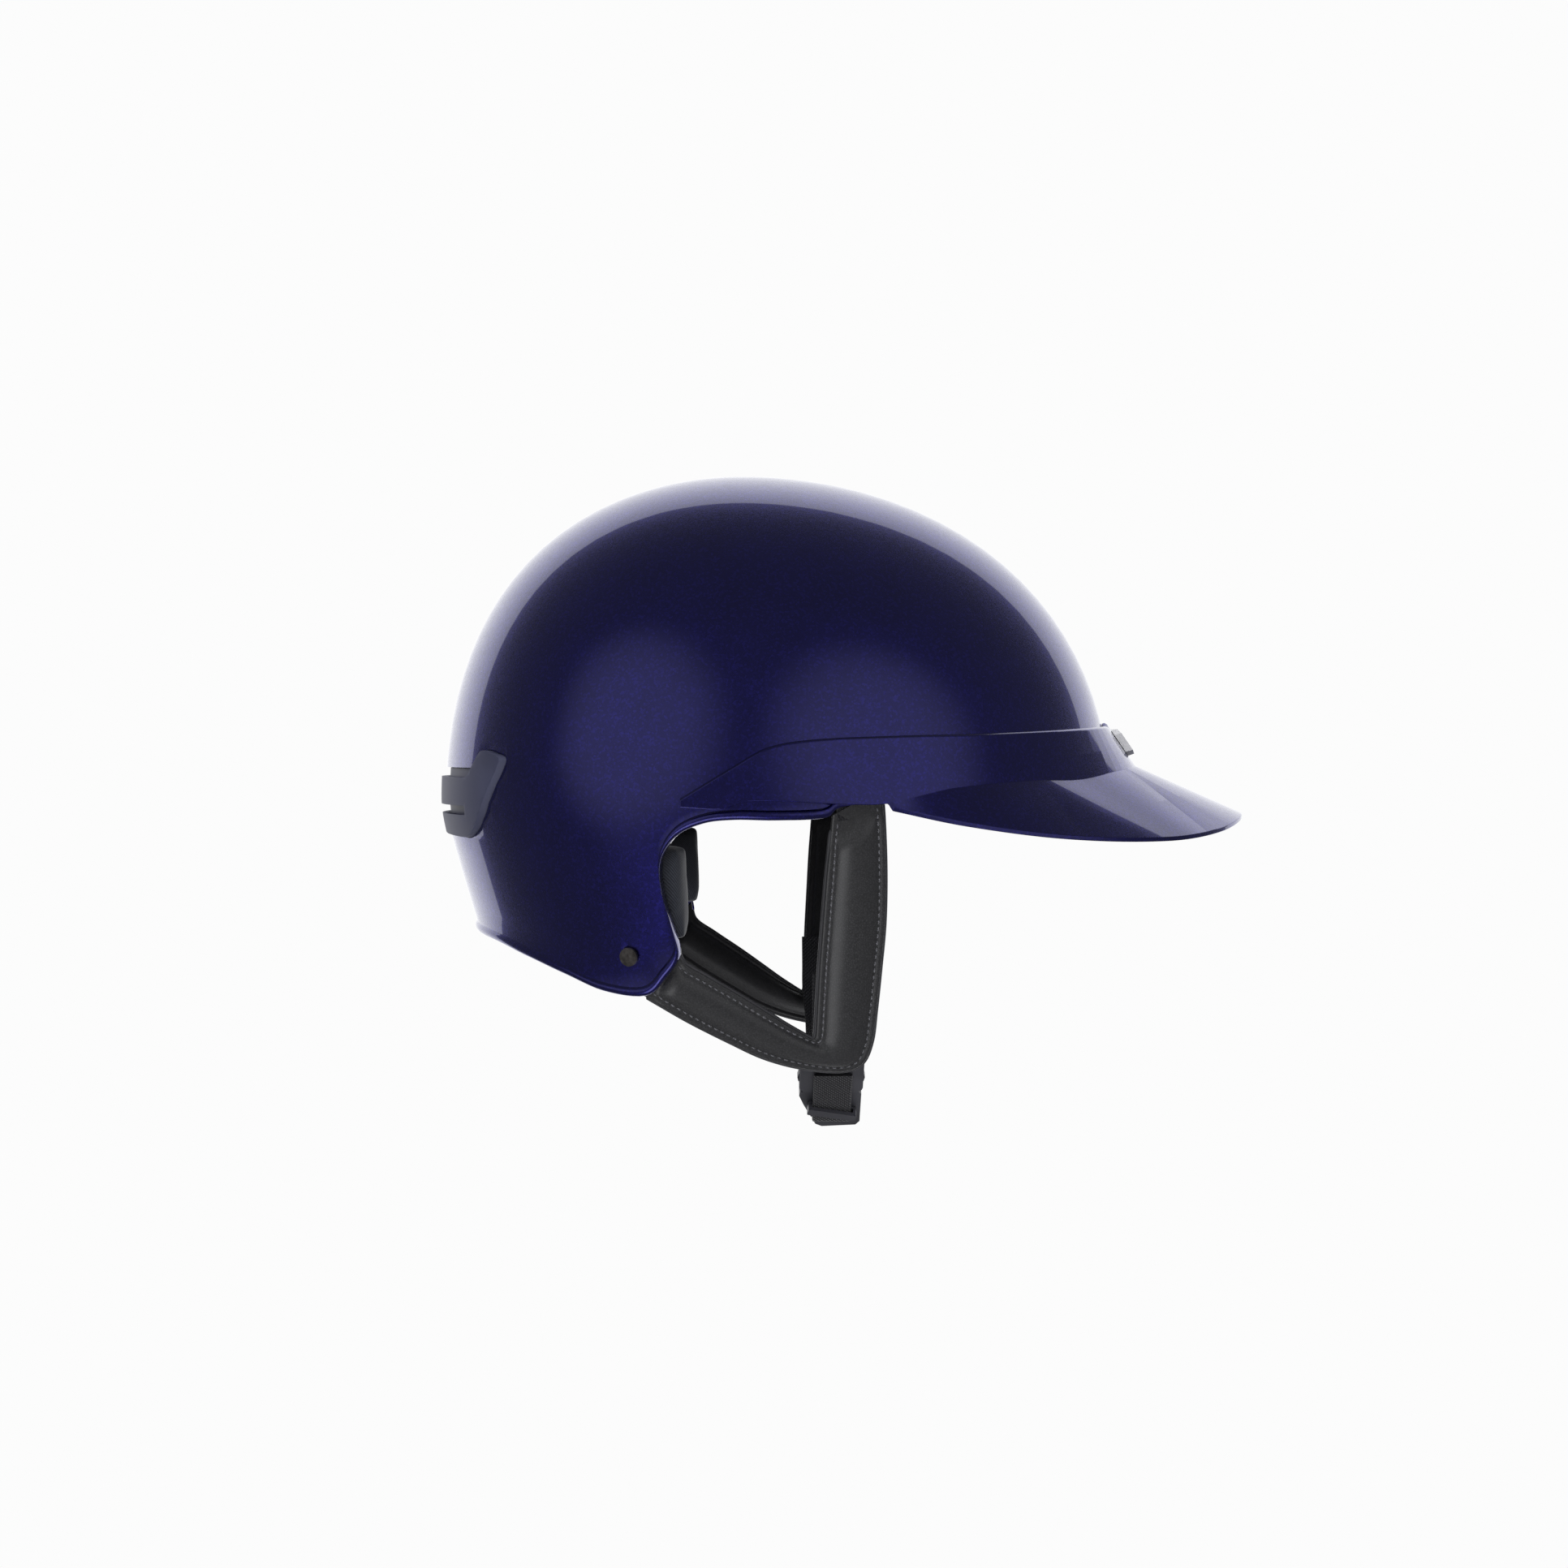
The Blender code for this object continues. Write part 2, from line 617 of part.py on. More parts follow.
def front_normal():
    """The outward normal of the band's flared front."""
    up = band_front(0.0, BADGE_HIGH) - band_front(0.0, BADGE_LOW)
    return Vector((up.z, 0.0, -up.x)).normalized()


def band_front(y, z):
    """A point on the band's flared front face."""
    turn = math.asin(y / (HALF_WIDTH + BAND_GAP + BAND_WALL))
    x = dome_face(turn, 0.0).x
    front_x = dome_face(0.0, 0.0).x
    top = between(BAND_TOP, x if x < front_x - 0.5 else 150) - BAND_TOP_ROUND
    bottom = between(BAND_BOTTOM, x + flare(turn))
    stand = BAND_GAP + BAND_WALL
    high = band_point(turn, top, stand)
    low = band_point(turn, bottom, stand + flare(turn))
    share = (z - low.z) / (high.z - low.z)
    point = low.lerp(high, share)
    return Vector((point.x, y, z))


# Chin harness.

def harness_y(x, z):
    """The depth, on the right side, of the harness's middle plane at x and z."""
    share = (x - HINGE_REAR[0]) / (HINGE_FRONT[0] - HINGE_REAR[0])
    hinge_z = HINGE_REAR[2] + (HINGE_FRONT[2] - HINGE_REAR[2]) * share
    hinge_y = HINGE_REAR[1] + (HINGE_FRONT[1] - HINGE_REAR[1]) * share
    return hinge_y + HARNESS_LEAN * (hinge_z - z)


def harness_point(x, z):
    """A point on the harness's middle plane, on the right side."""
    return Vector((x, harness_y(x, z), z))


def harness_normal():
    """The outward normal of the right harness's plane."""
    across = harness_point(1.0, -60.0) - harness_point(0.0, -60.0)
    down = harness_point(0.0, -61.0) - harness_point(0.0, -60.0)
    normal = across.cross(down).normalized()
    return normal if normal.y < 0.0 else -normal


def build_strap_pad(label, side, leather):
    """The padded V: one leg from the brow, one from behind the ear, meeting under the jaw."""
    normal = mirrored(harness_normal(), side)
    flat = [(*outer, *inner) for outer, inner in STRAP_STATIONS]
    stations = smooth_path(flat, 2)
    rings = []
    for index, (outer_x, outer_z, inner_x, inner_z) in enumerate(stations):
        outer = mirrored(harness_point(outer_x, outer_z), side)
        inner = mirrored(harness_point(inner_x, inner_z), side)
        end = min(index, len(stations) - 1 - index)
        swell = (0.35, 0.75, 1.0)[min(end, 2)]
        ring = []
        for face in (1.0, -1.0):
            shares = (0.0, 0.22, 0.5, 0.78, 1.0)
            if face < 0:
                shares = tuple(reversed(shares))
            for share in shares:
                thick = STRAP_FLANGE if share in (0.0, 1.0) else STRAP_THICKNESS
                thick = max(thick * swell, STRAP_FLANGE * 0.8)
                ring.append(outer.lerp(inner, share) + normal * face * thick / 2.0)
        rings.append(ring)
    return skin("strap_pad_" + label, rings, leather)


def ribbon(name, path, made, width=WEBBING_WIDTH, across=Vector((1.0, 0.0, 0.0))):
    """A flat band of webbing along a path, its width along one direction."""
    rings = []
    for index, here in enumerate(path):
        before = path[max(index - 1, 0)]
        after = path[min(index + 1, len(path) - 1)]
        along = (after - before).normalized()
        out = along.cross(across).normalized() * (WEBBING / 2.0)
        side = across * (width / 2.0)
        rings.append([here - side - out, here + side - out, here + side + out, here - side + out])
    return skin(name, rings, made)


def buckle_frame():
    """The buckle's frame in metres."""
    tilt = math.radians(BUCKLE_TILT_DEG)
    out = (0.0, math.cos(tilt), -math.sin(tilt))
    chin = (0.0, math.sin(tilt), math.cos(tilt))
    frame = Matrix(((1.0, out[0], chin[0], 0.0), (0.0, out[1], chin[1], 0.0),
                    (0.0, out[2], chin[2], 0.0), (0.0, 0.0, 0.0, 1.0)))
    return Matrix.Translation(Vector(BUCKLE_AT) * MM) @ frame


def buckle_point(along, depth):
    """A point on the buckle's middle line, in millimetres in the helmet's frame."""
    local = Vector((WEBBING_X - BUCKLE_AT[0], along, depth)) * MM
    return (buckle_frame() @ local) / MM


def webbing_start(side):
    """Where the webbing runs down the inner face of a strap pad."""
    normal = mirrored(harness_normal(), side)
    stand = STRAP_THICKNESS / 2.0 + WEBBING / 2.0 + WEBBING_STAND
    return [mirrored(harness_point(WEBBING_X, z), side) - normal * stand for z in (-72, -84, -94)]


def build_webbing(webbing):
    """The two webbing straps: a short one to the socket and a long one that ends in a tail."""
    right = webbing_start(-1)
    right += [buckle_point(along, depth) for along, depth in
              ((-25.6, 0.6), (-23.9, 3.6), (-21.4, 5.2), (-18.9, 4.6), (-17.8, 2.4), (-17.8, -1.5))]
    left = webbing_start(1)
    left += [Vector((WEBBING_X, y, z)) for y, z in
             ((64, -105), (52, -114), (36, -122), (18, -127.6), (0, -130.4), (-14, -130.8))]
    left += [buckle_point(along, depth) for along, depth in
             ((23.4, 5.6), (20.6, 4.8), (19.2, 2.6), (18.9, 0.0), (18.7, -2.6), (17.6, -4.8),
              (15.4, TAIL_DEPTH), (6.0, TAIL_DEPTH), (-4.0, TAIL_DEPTH), (-14.0, TAIL_DEPTH))]
    return ribbon("webbing_right", right, webbing), ribbon("webbing_left", left, webbing)


def build_anchors(label, side, webbing, steel):
    """Fixed webbing ends, with a rivet and a washer each, inside the shell."""
    for name, place, hinge in (("rear", REAR_RIVET, HINGE_REAR), ("front", FRONT_RIVET, HINGE_FRONT)):
        point, normal = shell_place(place, side)
        stub_depth = SHELL_WALL + STUB_GAP + WEBBING / 2.0
        start = point - normal * stub_depth
        end = mirrored(hinge, side)
        across = (end - start).cross(normal).normalized()
        along = normal.cross(across).normalized()
        path = [start - along * (WASHER + 0.5), start + along * (WASHER + 0.5)]
        path.append(path[-1].lerp(end, 0.85))
        anchor = ribbon(f"strap_anchor_{name}_{label}", path, webbing, WEBBING_WIDTH, across)
        hole = disc("anchor_hole", point, normal, RIVET_SHANK + GAP, -9.0, 3.0, webbing, 16)
        combine(anchor, cutter(hole))
        back = -(stub_depth + WEBBING / 2.0 + GAP)
        head_low, head_high = (GAP, 1.5) if name == "rear" else (-1.6, 0.0)
        shank_top = (head_low + head_high) / 2.0
        rivet = disc(f"{name}_rivet_{label}", point, normal, RIVET_SHANK, back - 1.6, shank_top,
                     steel, 16)
        head = disc("rivet_head", point, normal, RIVET_HEAD, head_low, head_high, steel, 24)
        combine(rivet, cutter(head), "UNION")
        washer = disc(f"{name}_washer_{label}", point, normal, WASHER, back - 1.3, back, steel, 24)
        bore = disc("washer_bore", point, normal, RIVET_SHANK + GAP, -12.0, 3.0, steel, 16)
        combine(washer, cutter(bore))


def build_buckle(plastic):
    """The buckle's socket, plug, two spring prongs and the keeper on the strap's tail."""
    frame = buckle_frame()
    body = shifted(rounded_box(BUCKLE_HALF_WIDTH, SOCKET_LENGTH / 2.0, 3.0), 0, -SOCKET_LENGTH / 2.0)
    socket = prism("buckle_socket", body, -SOCKET_HALF_HEIGHT, SOCKET_HALF_HEIGHT, plastic, frame)
    tunnel = shifted(rounded_box(BUCKLE_HALF_WIDTH + 2, TUNNEL_DEPTH / 2 + 2, 0.5), 0,
                     4 - TUNNEL_DEPTH / 2 - 2)
    combine(socket, cutter(prism("tunnel", tunnel, -TUNNEL_HALF_HEIGHT, TUNNEL_HALF_HEIGHT, plastic,
                                 frame)))
    slot = shifted(rounded_box(WEBBING_WIDTH / 2 + 1, 1.7, 0.6), 0, -17.8)
    combine(socket, cutter(prism("socket_slot", slot, -9.0, 9.0, plastic, frame)))

    base = [(-BUCKLE_HALF_WIDTH + 0.4, 0.4), (11.0, 0.4), (12.0, 2.0), (12.0, PLUG_LENGTH - 3.5),
            (10.4, PLUG_LENGTH - 1.0), (-3.0, PLUG_LENGTH), (-5.6, PLUG_LENGTH - 1.6),
            (-10.6, 9.0), (-BUCKLE_HALF_WIDTH, 3.0)]
    plug = prism("buckle_plug", base, -PLUG_HALF_HEIGHT, PLUG_HALF_HEIGHT, plastic, frame)
    tongue = shifted(rounded_box(4.0, 8.0, 1.2), 0, -4.0)
    combine(plug, cutter(prism("tongue", tongue, -1.2, 1.2, plastic, frame)), "UNION")
    slot = shifted(rounded_box(WEBBING_WIDTH / 2 + 0.6, 1.6, 0.6), WEBBING_X - BUCKLE_AT[0], 18.9)
    combine(plug, cutter(prism("plug_slot", slot, -9.0, 9.0, plastic, frame)))

    prong = [(6.6, 0.1), (9.4, 0.1), (9.9, -2.0), (12.8, -3.6), (13.2, -6.0), (12.6, -9.0),
             (10.4, -11.6), (8.2, -12.0), (7.2, -9.0)]
    prongs = []
    for label, side in (("front", 1), ("rear", -1)):
        outline = [(side * x, y) for x, y in prong]
        prongs.append(prism("buckle_prong_" + label, outline, -1.2, 1.2, plastic, frame))

    centre = WEBBING_X - BUCKLE_AT[0]
    turned = frame @ Matrix.Translation(Vector((centre, KEEPER_AT, 0.0)) * MM)
    turned = turned @ Matrix.Rotation(math.radians(KEEPER_SLANT_DEG), 4, "Z")
    loop = rounded_box(WEBBING_WIDTH / 2 + 2.3, 1.8, 0.8)
    keeper = prism("strap_keeper", loop, -8.1, -3.8, plastic, turned)
    half = WEBBING_WIDTH / 2 + 0.9
    window = [(-half, -5.0), (half, -5.0), (half, 5.0), (-half, 5.0)]
    combine(keeper, cutter(prism("keeper_window", window, -6.5, -4.7, plastic, turned)))
    return socket, plug, prongs, keeper


def build():
    """Model every piece and hang the moving ones on their joint axes."""
    clear_scene()
    paint = material("shell_paint", (0.012, 0.012, 0.055), 0.12, 0.6)
    peak_paint = material("peak_paint", (0.012, 0.012, 0.055), 0.12, 0.6)
    matte = material("vent_plastic", (0.045, 0.048, 0.09), 0.55)
    foam = material("liner_foam", (0.03, 0.03, 0.032), 0.9)
    cloth = material("pad_cloth", (0.02, 0.02, 0.024), 0.95)
    leather = material("strap_leather", (0.012, 0.012, 0.013), 0.45)
    web = material("webbing", (0.02, 0.02, 0.022), 0.9)
    plastic = material("buckle_plastic", (0.018, 0.018, 0.02), 0.4)
    steel = material("blackened_steel", (0.03, 0.03, 0.03), 0.35, 0.9)

    build_shell(paint)
    build_vent(matte)
    build_liner(foam)
    build_pads(cloth)
    peak = build_peak(peak_paint)
    badge = build_badge(peak_paint)
    peak_axis = (0.0, 0.0, 15.0)
    hang([peak, badge], pivot("peak_axis", peak_axis), peak_axis)

    for side, label in ((-1, "right"), (1, "left")):
        build_anchors(label, side, web, steel)
    webbing_right, webbing_left = build_webbing(web)
    socket, plug, prongs, keeper = build_buckle(plastic)
    pad_right = build_strap_pad("right", -1, leather)
    pad_left = build_strap_pad("left", 1, leather)
    hinge_right = mirrored(HINGE_FRONT, -1)
    hinge_left = mirrored(HINGE_FRONT, 1)
    hang([pad_right, webbing_right, socket], pivot("strap_right_axis", hinge_right), hinge_right)
    hang([pad_left, webbing_left, plug, *prongs, keeper], pivot("strap_left_axis", hinge_left),
         hinge_left)


build()
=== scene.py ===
"""Open-face riding helmet: detailed pieces and finishes over its jointed frame."""
import math

import bmesh
import bpy
from mathutils import Matrix, Vector


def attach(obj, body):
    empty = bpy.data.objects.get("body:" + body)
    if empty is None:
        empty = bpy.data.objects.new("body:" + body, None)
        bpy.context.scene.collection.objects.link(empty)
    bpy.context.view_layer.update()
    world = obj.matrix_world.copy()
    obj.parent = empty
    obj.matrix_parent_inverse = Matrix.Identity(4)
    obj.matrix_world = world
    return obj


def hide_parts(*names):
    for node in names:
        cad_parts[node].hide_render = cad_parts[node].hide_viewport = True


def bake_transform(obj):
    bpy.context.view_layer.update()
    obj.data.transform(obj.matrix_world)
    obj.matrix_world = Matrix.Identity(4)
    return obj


bl_info = {
    "name": "Riding Helmet Pieces",
    "version": (1, 0, 0),
    "blender": (4, 5, 0),
    "location": "3D View > Sidebar > Helmet",
    "description": "Builds the shell, peak, lining, chin harness and studio of a riding helmet",
    "category": "Object",
}

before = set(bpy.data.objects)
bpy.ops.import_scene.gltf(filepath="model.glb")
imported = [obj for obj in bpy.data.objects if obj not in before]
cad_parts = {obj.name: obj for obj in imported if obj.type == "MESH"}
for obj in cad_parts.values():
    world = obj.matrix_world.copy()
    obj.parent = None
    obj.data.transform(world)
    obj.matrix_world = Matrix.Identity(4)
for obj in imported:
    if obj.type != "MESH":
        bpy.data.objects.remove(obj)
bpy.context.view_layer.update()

MM = 0.001

# Dome of the shell, in millimetres: an egg-shaped plan under a slightly squared arch.
CROWN_X = -16.4
EQUATOR_Z = -5.0
CROWN_RISE = 130.8
HALF_LENGTH = 135.9
HALF_WIDTH = 114.0
EGG = 10.0
PLAN_SHIFT = 4.1
SQUARENESS = 0.09
SQUARENESS_REAR = 0.03
TAPER_SIDE = 0.12
TAPER_REAR = 0.18
TAPER_FRONT = 0.06
TAPER_EASE = 12.0
SHELL_WALL = 3.2
LINER_OUTER = 6.4
LINER_INNER = 28.5
PAD_GAP = 2.2
EAR_PAD_GAP = 1.3
COMFORT_INNER = 34.6
EAR_PAD_INNER = 19.6
RIM_RING_DEG = 6.5
GAP = 0.3

# Swelling of the pads, as (mesh size in mm, pressure, furthest a point may move in mm).
CROWN_SWELL = (2.4, 3.0, 0.7)
BROW_SWELL = (1.8, 3.0, 0.7)
REAR_SWELL = (3.2, 4.0, 1.0)
SWELL_FRAMES = 20

# Rim of the shell seen from the side, brow to nape, as (x, z, plan angle above it in degrees).
BROW_Z = -5.0
NAPE_Z = -58.3
RIM = [
    (124.0, -5.0, 20.0), (100.0, -5.0, 38.5), (60.0, -5.0, 59.5), (32.0, -5.2, 71.5),
    (18.4, -6.6, 77.0), (12.5, -10.4, 80.5), (-5.0, -11.2, 87.0), (-19.8, -11.0, 93.0),
    (-31.0, -12.3, 98.0), (-41.0, -17.0, 102.5), (-46.6, -26.0, 106.0), (-46.0, -38.0, 109.5),
    (-42.6, -50.0, 113.5), (-40.2, -61.0, 118.0), (-45.0, -69.0, 122.5), (-52.4, -76.0, 127.0),
    (-68.0, -75.0, 132.5), (-83.0, -69.6, 139.0), (-99.0, -64.0, 148.0), (-114.0, -59.6, 158.0),
]
LINER_BROW_Z = -2.0
LINER_NAPE_Z = -21.0
LINER_RIM = [
    (124.0, -2.0, 20.0), (100.0, -2.0, 38.5), (60.0, -2.0, 59.5), (20.0, -3.0, 76.5),
    (-5.0, -7.0, 87.0), (-25.0, -8.5, 95.5), (-42.0, -14.0, 103.0), (-58.0, -19.5, 110.5),
    (-80.0, -21.0, 123.0), (-106.0, -21.0, 142.0), (-127.0, -21.0, 162.0),
]
FINE_ARCH = tuple(range(90, 9, -4))
BEAD_ROWS = (3.6, 3.2, 2.8, 2.3, 1.7, 1.1, 0.6, 0.25)
BEAD_MIDDLE = 1.7
BEAD_HALF = 1.8
BEAD_REACH = 3.55
BEAD_FADE_X = 22.0
BEAD_FADE_LENGTH = 12.0

# Peak, in millimetres.
BAND_GAP = 0.6
BAND_WALL = 2.0
BAND_FLARE = 8.9
BAND_FLARE_DEG = 48.0
BRIM_THICKNESS = 2.0
BRIM_CENTRE_X = 35.0
BRIM_LENGTH = 153.0
BRIM_HALF_WIDTH = 109.0
FACET_STEPS = 10
SIDE_STEPS = 32
TAB_STEPS = 29
TAB_STEP = 2.5
TAB_END_X = -39.5
BAND_TOP = [(150, 24.8), (112, 22.0), (75, 20.2), (38, 19.2), (8, 17.8), (-8, 15.0), (-20, 8.5),
            (-39.5, -3.2)]
BAND_BOTTOM = [(150, 7.4), (127.8, 5.0), (111, 2.6), (92.5, 2.6), (60, 0.2), (35, -4.6),
               (22, -4.8), (-14, -3.4), (-25, -6.2), (-39.5, -5.6)]
BRIM_EDGE = [(35, -6.0), (65, -12.3), (104, -17.4), (146, -18.9), (170, -16.4), (188, -11.4)]
FACETS = [(92.5, 111.5), (92.5, 138.0), (127.8, 163.0), (127.8, 175.6)]

# Rear vent seen from behind, half outline as (y, z), with its louvre slot.
VENT_OUTLINE = [(0.0, 3.6), (58.5, 3.6), (67.0, 14.6), (77.6, 11.4), (75.0, 4.4), (70.6, -3.8),
                (67.6, -9.6), (62.4, -15.8), (54.8, -19.8), (28.0, -19.2), (0.0, -18.4)]
VENT_OPENING = [(0.0, 7.0), (60.4, 7.0)]
VENT_SLOT = (57.0, -11.0, -7.4)
VENT_BACK_DEPTH = 1.4
VENT_PROUD = 1.9
VENT_DEPTHS = (-160.0, -92.0)
VENT_CORNER = 2.6
VENT_LOW_Z = -26.0
VENT_ROW = 2.0
VENT_ROWS = 25
VENT_HALF_DEG = 62

# Chin harness, in millimetres: outer and inner edge of each pad seen from the side.
HINGE_FRONT = (25.0, -103.0, -12.0)
HINGE_REAR = (-46.0, -98.4, -68.0)
HARNESS_LEAN = 0.33
STRAP_THICKNESS = 6.6
STRAP_FLANGE = 2.4
TONGUE_THICKNESS = 1.4
EDGE_ROUNDING = 0.7
CROWN_EXTRA = 0.5
CROWN_POWER = 2.6
VALLEY_DEPTH = 0.55
VALLEY_WIDTH = 0.6
# Sections left bare of stitches and piping at each end of a pad.
TRIM_SKIP = 6
STRAP_STATIONS = [
    ((33.6, 0.5), (15.6, -9.5)),
    ((34.8, -9.5), (14.6, -21.6)), ((36.0, -30.0), (13.6, -33.0)), ((36.1, -50.0), (12.5, -50.0)),
    ((34.9, -68.0), (11.4, -68.0)), ((33.6, -84.0), (10.7, -84.0)), ((32.2, -97.0), (10.3, -93.0)),
    ((28.4, -105.6), (9.4, -94.6)), ((20.0, -108.3), (8.2, -94.2)), ((5.0, -106.4), (0.0, -89.2)),
    ((-9.0, -102.0), (-8.5, -83.4)), ((-22.0, -95.3), (-18.0, -77.0)),
    ((-36.8, -87.0), (-30.0, -69.4)), ((-49.4, -79.0), (-38.8, -63.4)),
    ((-54.0, -76.0), (-40.6, -56.0)),
]
WEBBING_WIDTH = 15.0
WEBBING = 1.2
WEBBING_X = 18.0
WEBBING_STAND = 2.0
BUCKLE_AT = (17.5, -47.0, -117.0)
BUCKLE_TILT_DEG = 44.0
TAIL_DEPTH = -5.6
REAR_RIVET = (-58.4, -61.6)
FRONT_RIVET = (25.0, 1.5)
RIVET_HEAD = 3.5
RIVET_SHANK = 1.6
WASHER = 5.0
POCKET_DEPTH = 8.0
SIDES = ((-1, "right"), (1, "left"))


def linear(code):
    """An sRGB hex colour as linear RGB."""
    channels = [int(code[place:place + 2], 16) / 255.0 for place in (1, 3, 5)]
    return tuple(value / 12.92 if value <= 0.04045 else ((value + 0.055) / 1.055) ** 2.4
                 for value in channels)


# Curves and the dome. A place on the dome is a plan angle (0 in front, positive on the left)
# and a latitude in radians; below the equator that is the drop divided by CROWN_RISE.

def between(points, x):
    """The height of a smooth curve through points at x."""
    ordered = sorted(points)
    if x <= ordered[0][0]:
        return ordered[0][1]
    for index in range(len(ordered) - 1):
        (x0, y0), (x1, y1) = ordered[index], ordered[index + 1]
        if x <= x1:
            before = ordered[max(index - 1, 0)]
            after = ordered[min(index + 2, len(ordered) - 1)]
            slope0 = (y1 - before[1]) / (x1 - before[0])
            slope1 = (after[1] - y0) / (after[0] - x0)
            span = x1 - x0
            t = (x - x0) / span
            return ((2 * t**3 - 3 * t**2 + 1) * y0 + (t**3 - 2 * t**2 + t) * span * slope0
                    + (3 * t**2 - 2 * t**3) * y1 + (t**3 - t**2) * span * slope1)
    return ordered[-1][1]


def smooth_path(points, steps):
    """A Catmull-Rom curve through points of any dimension, steps samples per span."""
    padded = [points[0], *points, points[-1]]
    path = []
    for p0, p1, p2, p3 in zip(padded, padded[1:], padded[2:], padded[3:]):
        for step in range(steps):
            t = step / steps
            path.append(tuple(
                0.5 * (2 * b + (c - a) * t + (2 * a - 5 * b + 4 * c - d) * t**2
                       + (3 * b - a - 3 * c + d) * t**3)
                for a, b, c, d in zip(p0, p1, p2, p3)))
    path.append(tuple(points[-1]))
    return path


def dome_scale(angle, latitude):
    """How far out the dome lies at a latitude, as a share of its plan outline."""
    forward = math.cos(angle)
    if latitude >= 0.0:
        square = SQUARENESS - SQUARENESS_REAR * forward
        return math.cos(latitude) * (1.0 + square * math.sin(latitude) ** 2)
    drop = -latitude * CROWN_RISE
    taper = TAPER_SIDE - TAPER_REAR * min(forward, 0.0) * abs(forward)
    taper -= TAPER_FRONT * max(forward, 0.0)
    return 1.0 - taper * (math.hypot(drop, TAPER_EASE) - TAPER_EASE) / HALF_WIDTH


def dome_face(angle, latitude):
    """A point of the shell's outer face."""
    share = dome_scale(angle, latitude)
    forward = math.cos(angle)
    x = CROWN_X + share * (HALF_LENGTH * forward + EGG * forward**2 + PLAN_SHIFT)
    y = share * HALF_WIDTH * math.sin(angle)
    rise = math.sin(latitude) if latitude >= 0.0 else latitude
    return Vector((x, y, EQUATOR_Z + CROWN_RISE * rise))


def dome(angle, latitude, outwards=0.0):
    """A point at a distance from the shell's outer face, along its normal."""
    here = dome_face(angle, latitude)
    if latitude > 1.56:
        return here + Vector((0.0, 0.0, outwards))
    step = 0.002
    along = dome_face(angle + step, latitude) - dome_face(angle - step, latitude)
    up = dome_face(angle, latitude + step) - dome_face(angle, latitude - step)
    return here + along.cross(up).normalized() * outwards


def latitude_at(z):
    """The latitude of a height."""
    rise = (z - EQUATOR_Z) / CROWN_RISE
    return math.asin(min(rise, 1.0)) if rise >= 0.0 else rise


def angle_at(x, z):
    """The plan angle, on the left side, of the shell's point at x and z."""
    latitude = latitude_at(z)
    angle = math.pi / 2.0
    for _ in range(6):
        reach = (x - CROWN_X) / dome_scale(angle, latitude) - PLAN_SHIFT
        root = math.sqrt(max(HALF_LENGTH**2 + 4.0 * EGG * reach, 0.0))
        angle = math.acos(max(-1.0, min(1.0, (root - HALF_LENGTH) / (2.0 * EGG))))
    return angle


def shell_place(place, side):
    """A point on the shell's outer face given as (x, z), and the normal there."""
    angle = side * angle_at(*place)
    latitude = latitude_at(place[1])
    point = dome_face(angle, latitude)
    return point, (dome(angle, latitude, 1.0) - point).normalized()


# Mesh tools.

def skin(name, rings, wrap_rings=False, wrap_loop=True, fold_deg=32.0):
    """A closed body skinned over rings of points, capped where the rings don't wrap round."""
    body = bmesh.new()
    grid = [[body.verts.new(Vector(point) * MM) for point in ring] for ring in rings]
    count = len(grid[0])
    last = len(grid) if wrap_rings else len(grid) - 1
    for index in range(last):
        ring, following = grid[index], grid[(index + 1) % len(grid)]
        for place in range(count if wrap_loop else count - 1):
            after = (place + 1) % count
            body.faces.new((ring[place], ring[after], following[after], following[place]))
    if not wrap_rings:
        body.faces.new(grid[0])
        body.faces.new(grid[-1])
    bmesh.ops.remove_doubles(body, verts=body.verts, dist=2e-6)
    bmesh.ops.dissolve_degenerate(body, dist=2e-6, edges=body.edges)
    bmesh.ops.recalc_face_normals(body, faces=body.faces)
    return add_object(name, body, fold_deg)


def add_object(name, body, fold_deg=32.0):
    """Turn a bmesh into a named object, shaded smooth with folds kept sharp."""
    mesh = bpy.data.meshes.new(name)
    body.to_mesh(mesh)
    body.free()
    mesh.shade_smooth()
    mesh.set_sharp_from_angle(angle=math.radians(fold_deg))
    thing = bpy.data.objects.new(name, mesh)
    bpy.context.scene.collection.objects.link(thing)
    return thing


def prism(name, outline, low, high, frame_matrix):
    """An outline of (x, y) points raised from low to high along z, in a frame of its own."""
    body = bmesh.new()
    loops = [[body.verts.new(Vector((x, y, z)) * MM) for x, y in outline] for z in (low, high)]
    body.faces.new(loops[0])
    body.faces.new(loops[1])
    for index in range(len(outline)):
        after = (index + 1) % len(outline)
        body.faces.new((loops[0][index], loops[0][after], loops[1][after], loops[1][index]))
    bmesh.ops.recalc_face_normals(body, faces=body.faces)
    body.transform(frame_matrix)
    return add_object(name, body)


def disc(name, point, normal, radius, low, high, sides=48):
    """A cylinder along a normal, from low to high above a point."""
    outline = [(radius * math.cos(2.0 * math.pi * step / sides),
                radius * math.sin(2.0 * math.pi * step / sides)) for step in range(sides)]
    turn = normal.to_track_quat("Z", "Y").to_matrix().to_4x4()
    return prism(name, outline, low, high, Matrix.Translation(point * MM) @ turn)


def settle(thing, fold_deg=32.0):
    """Replace an object's mesh by what its modifiers make of it."""
    bpy.context.view_layer.update()
    graph = bpy.context.evaluated_depsgraph_get()
    made = bpy.data.meshes.new_from_object(thing.evaluated_get(graph))
    thing.modifiers.clear()
    thing.data = made
    made.shade_smooth()
    made.set_sharp_from_angle(angle=math.radians(fold_deg))


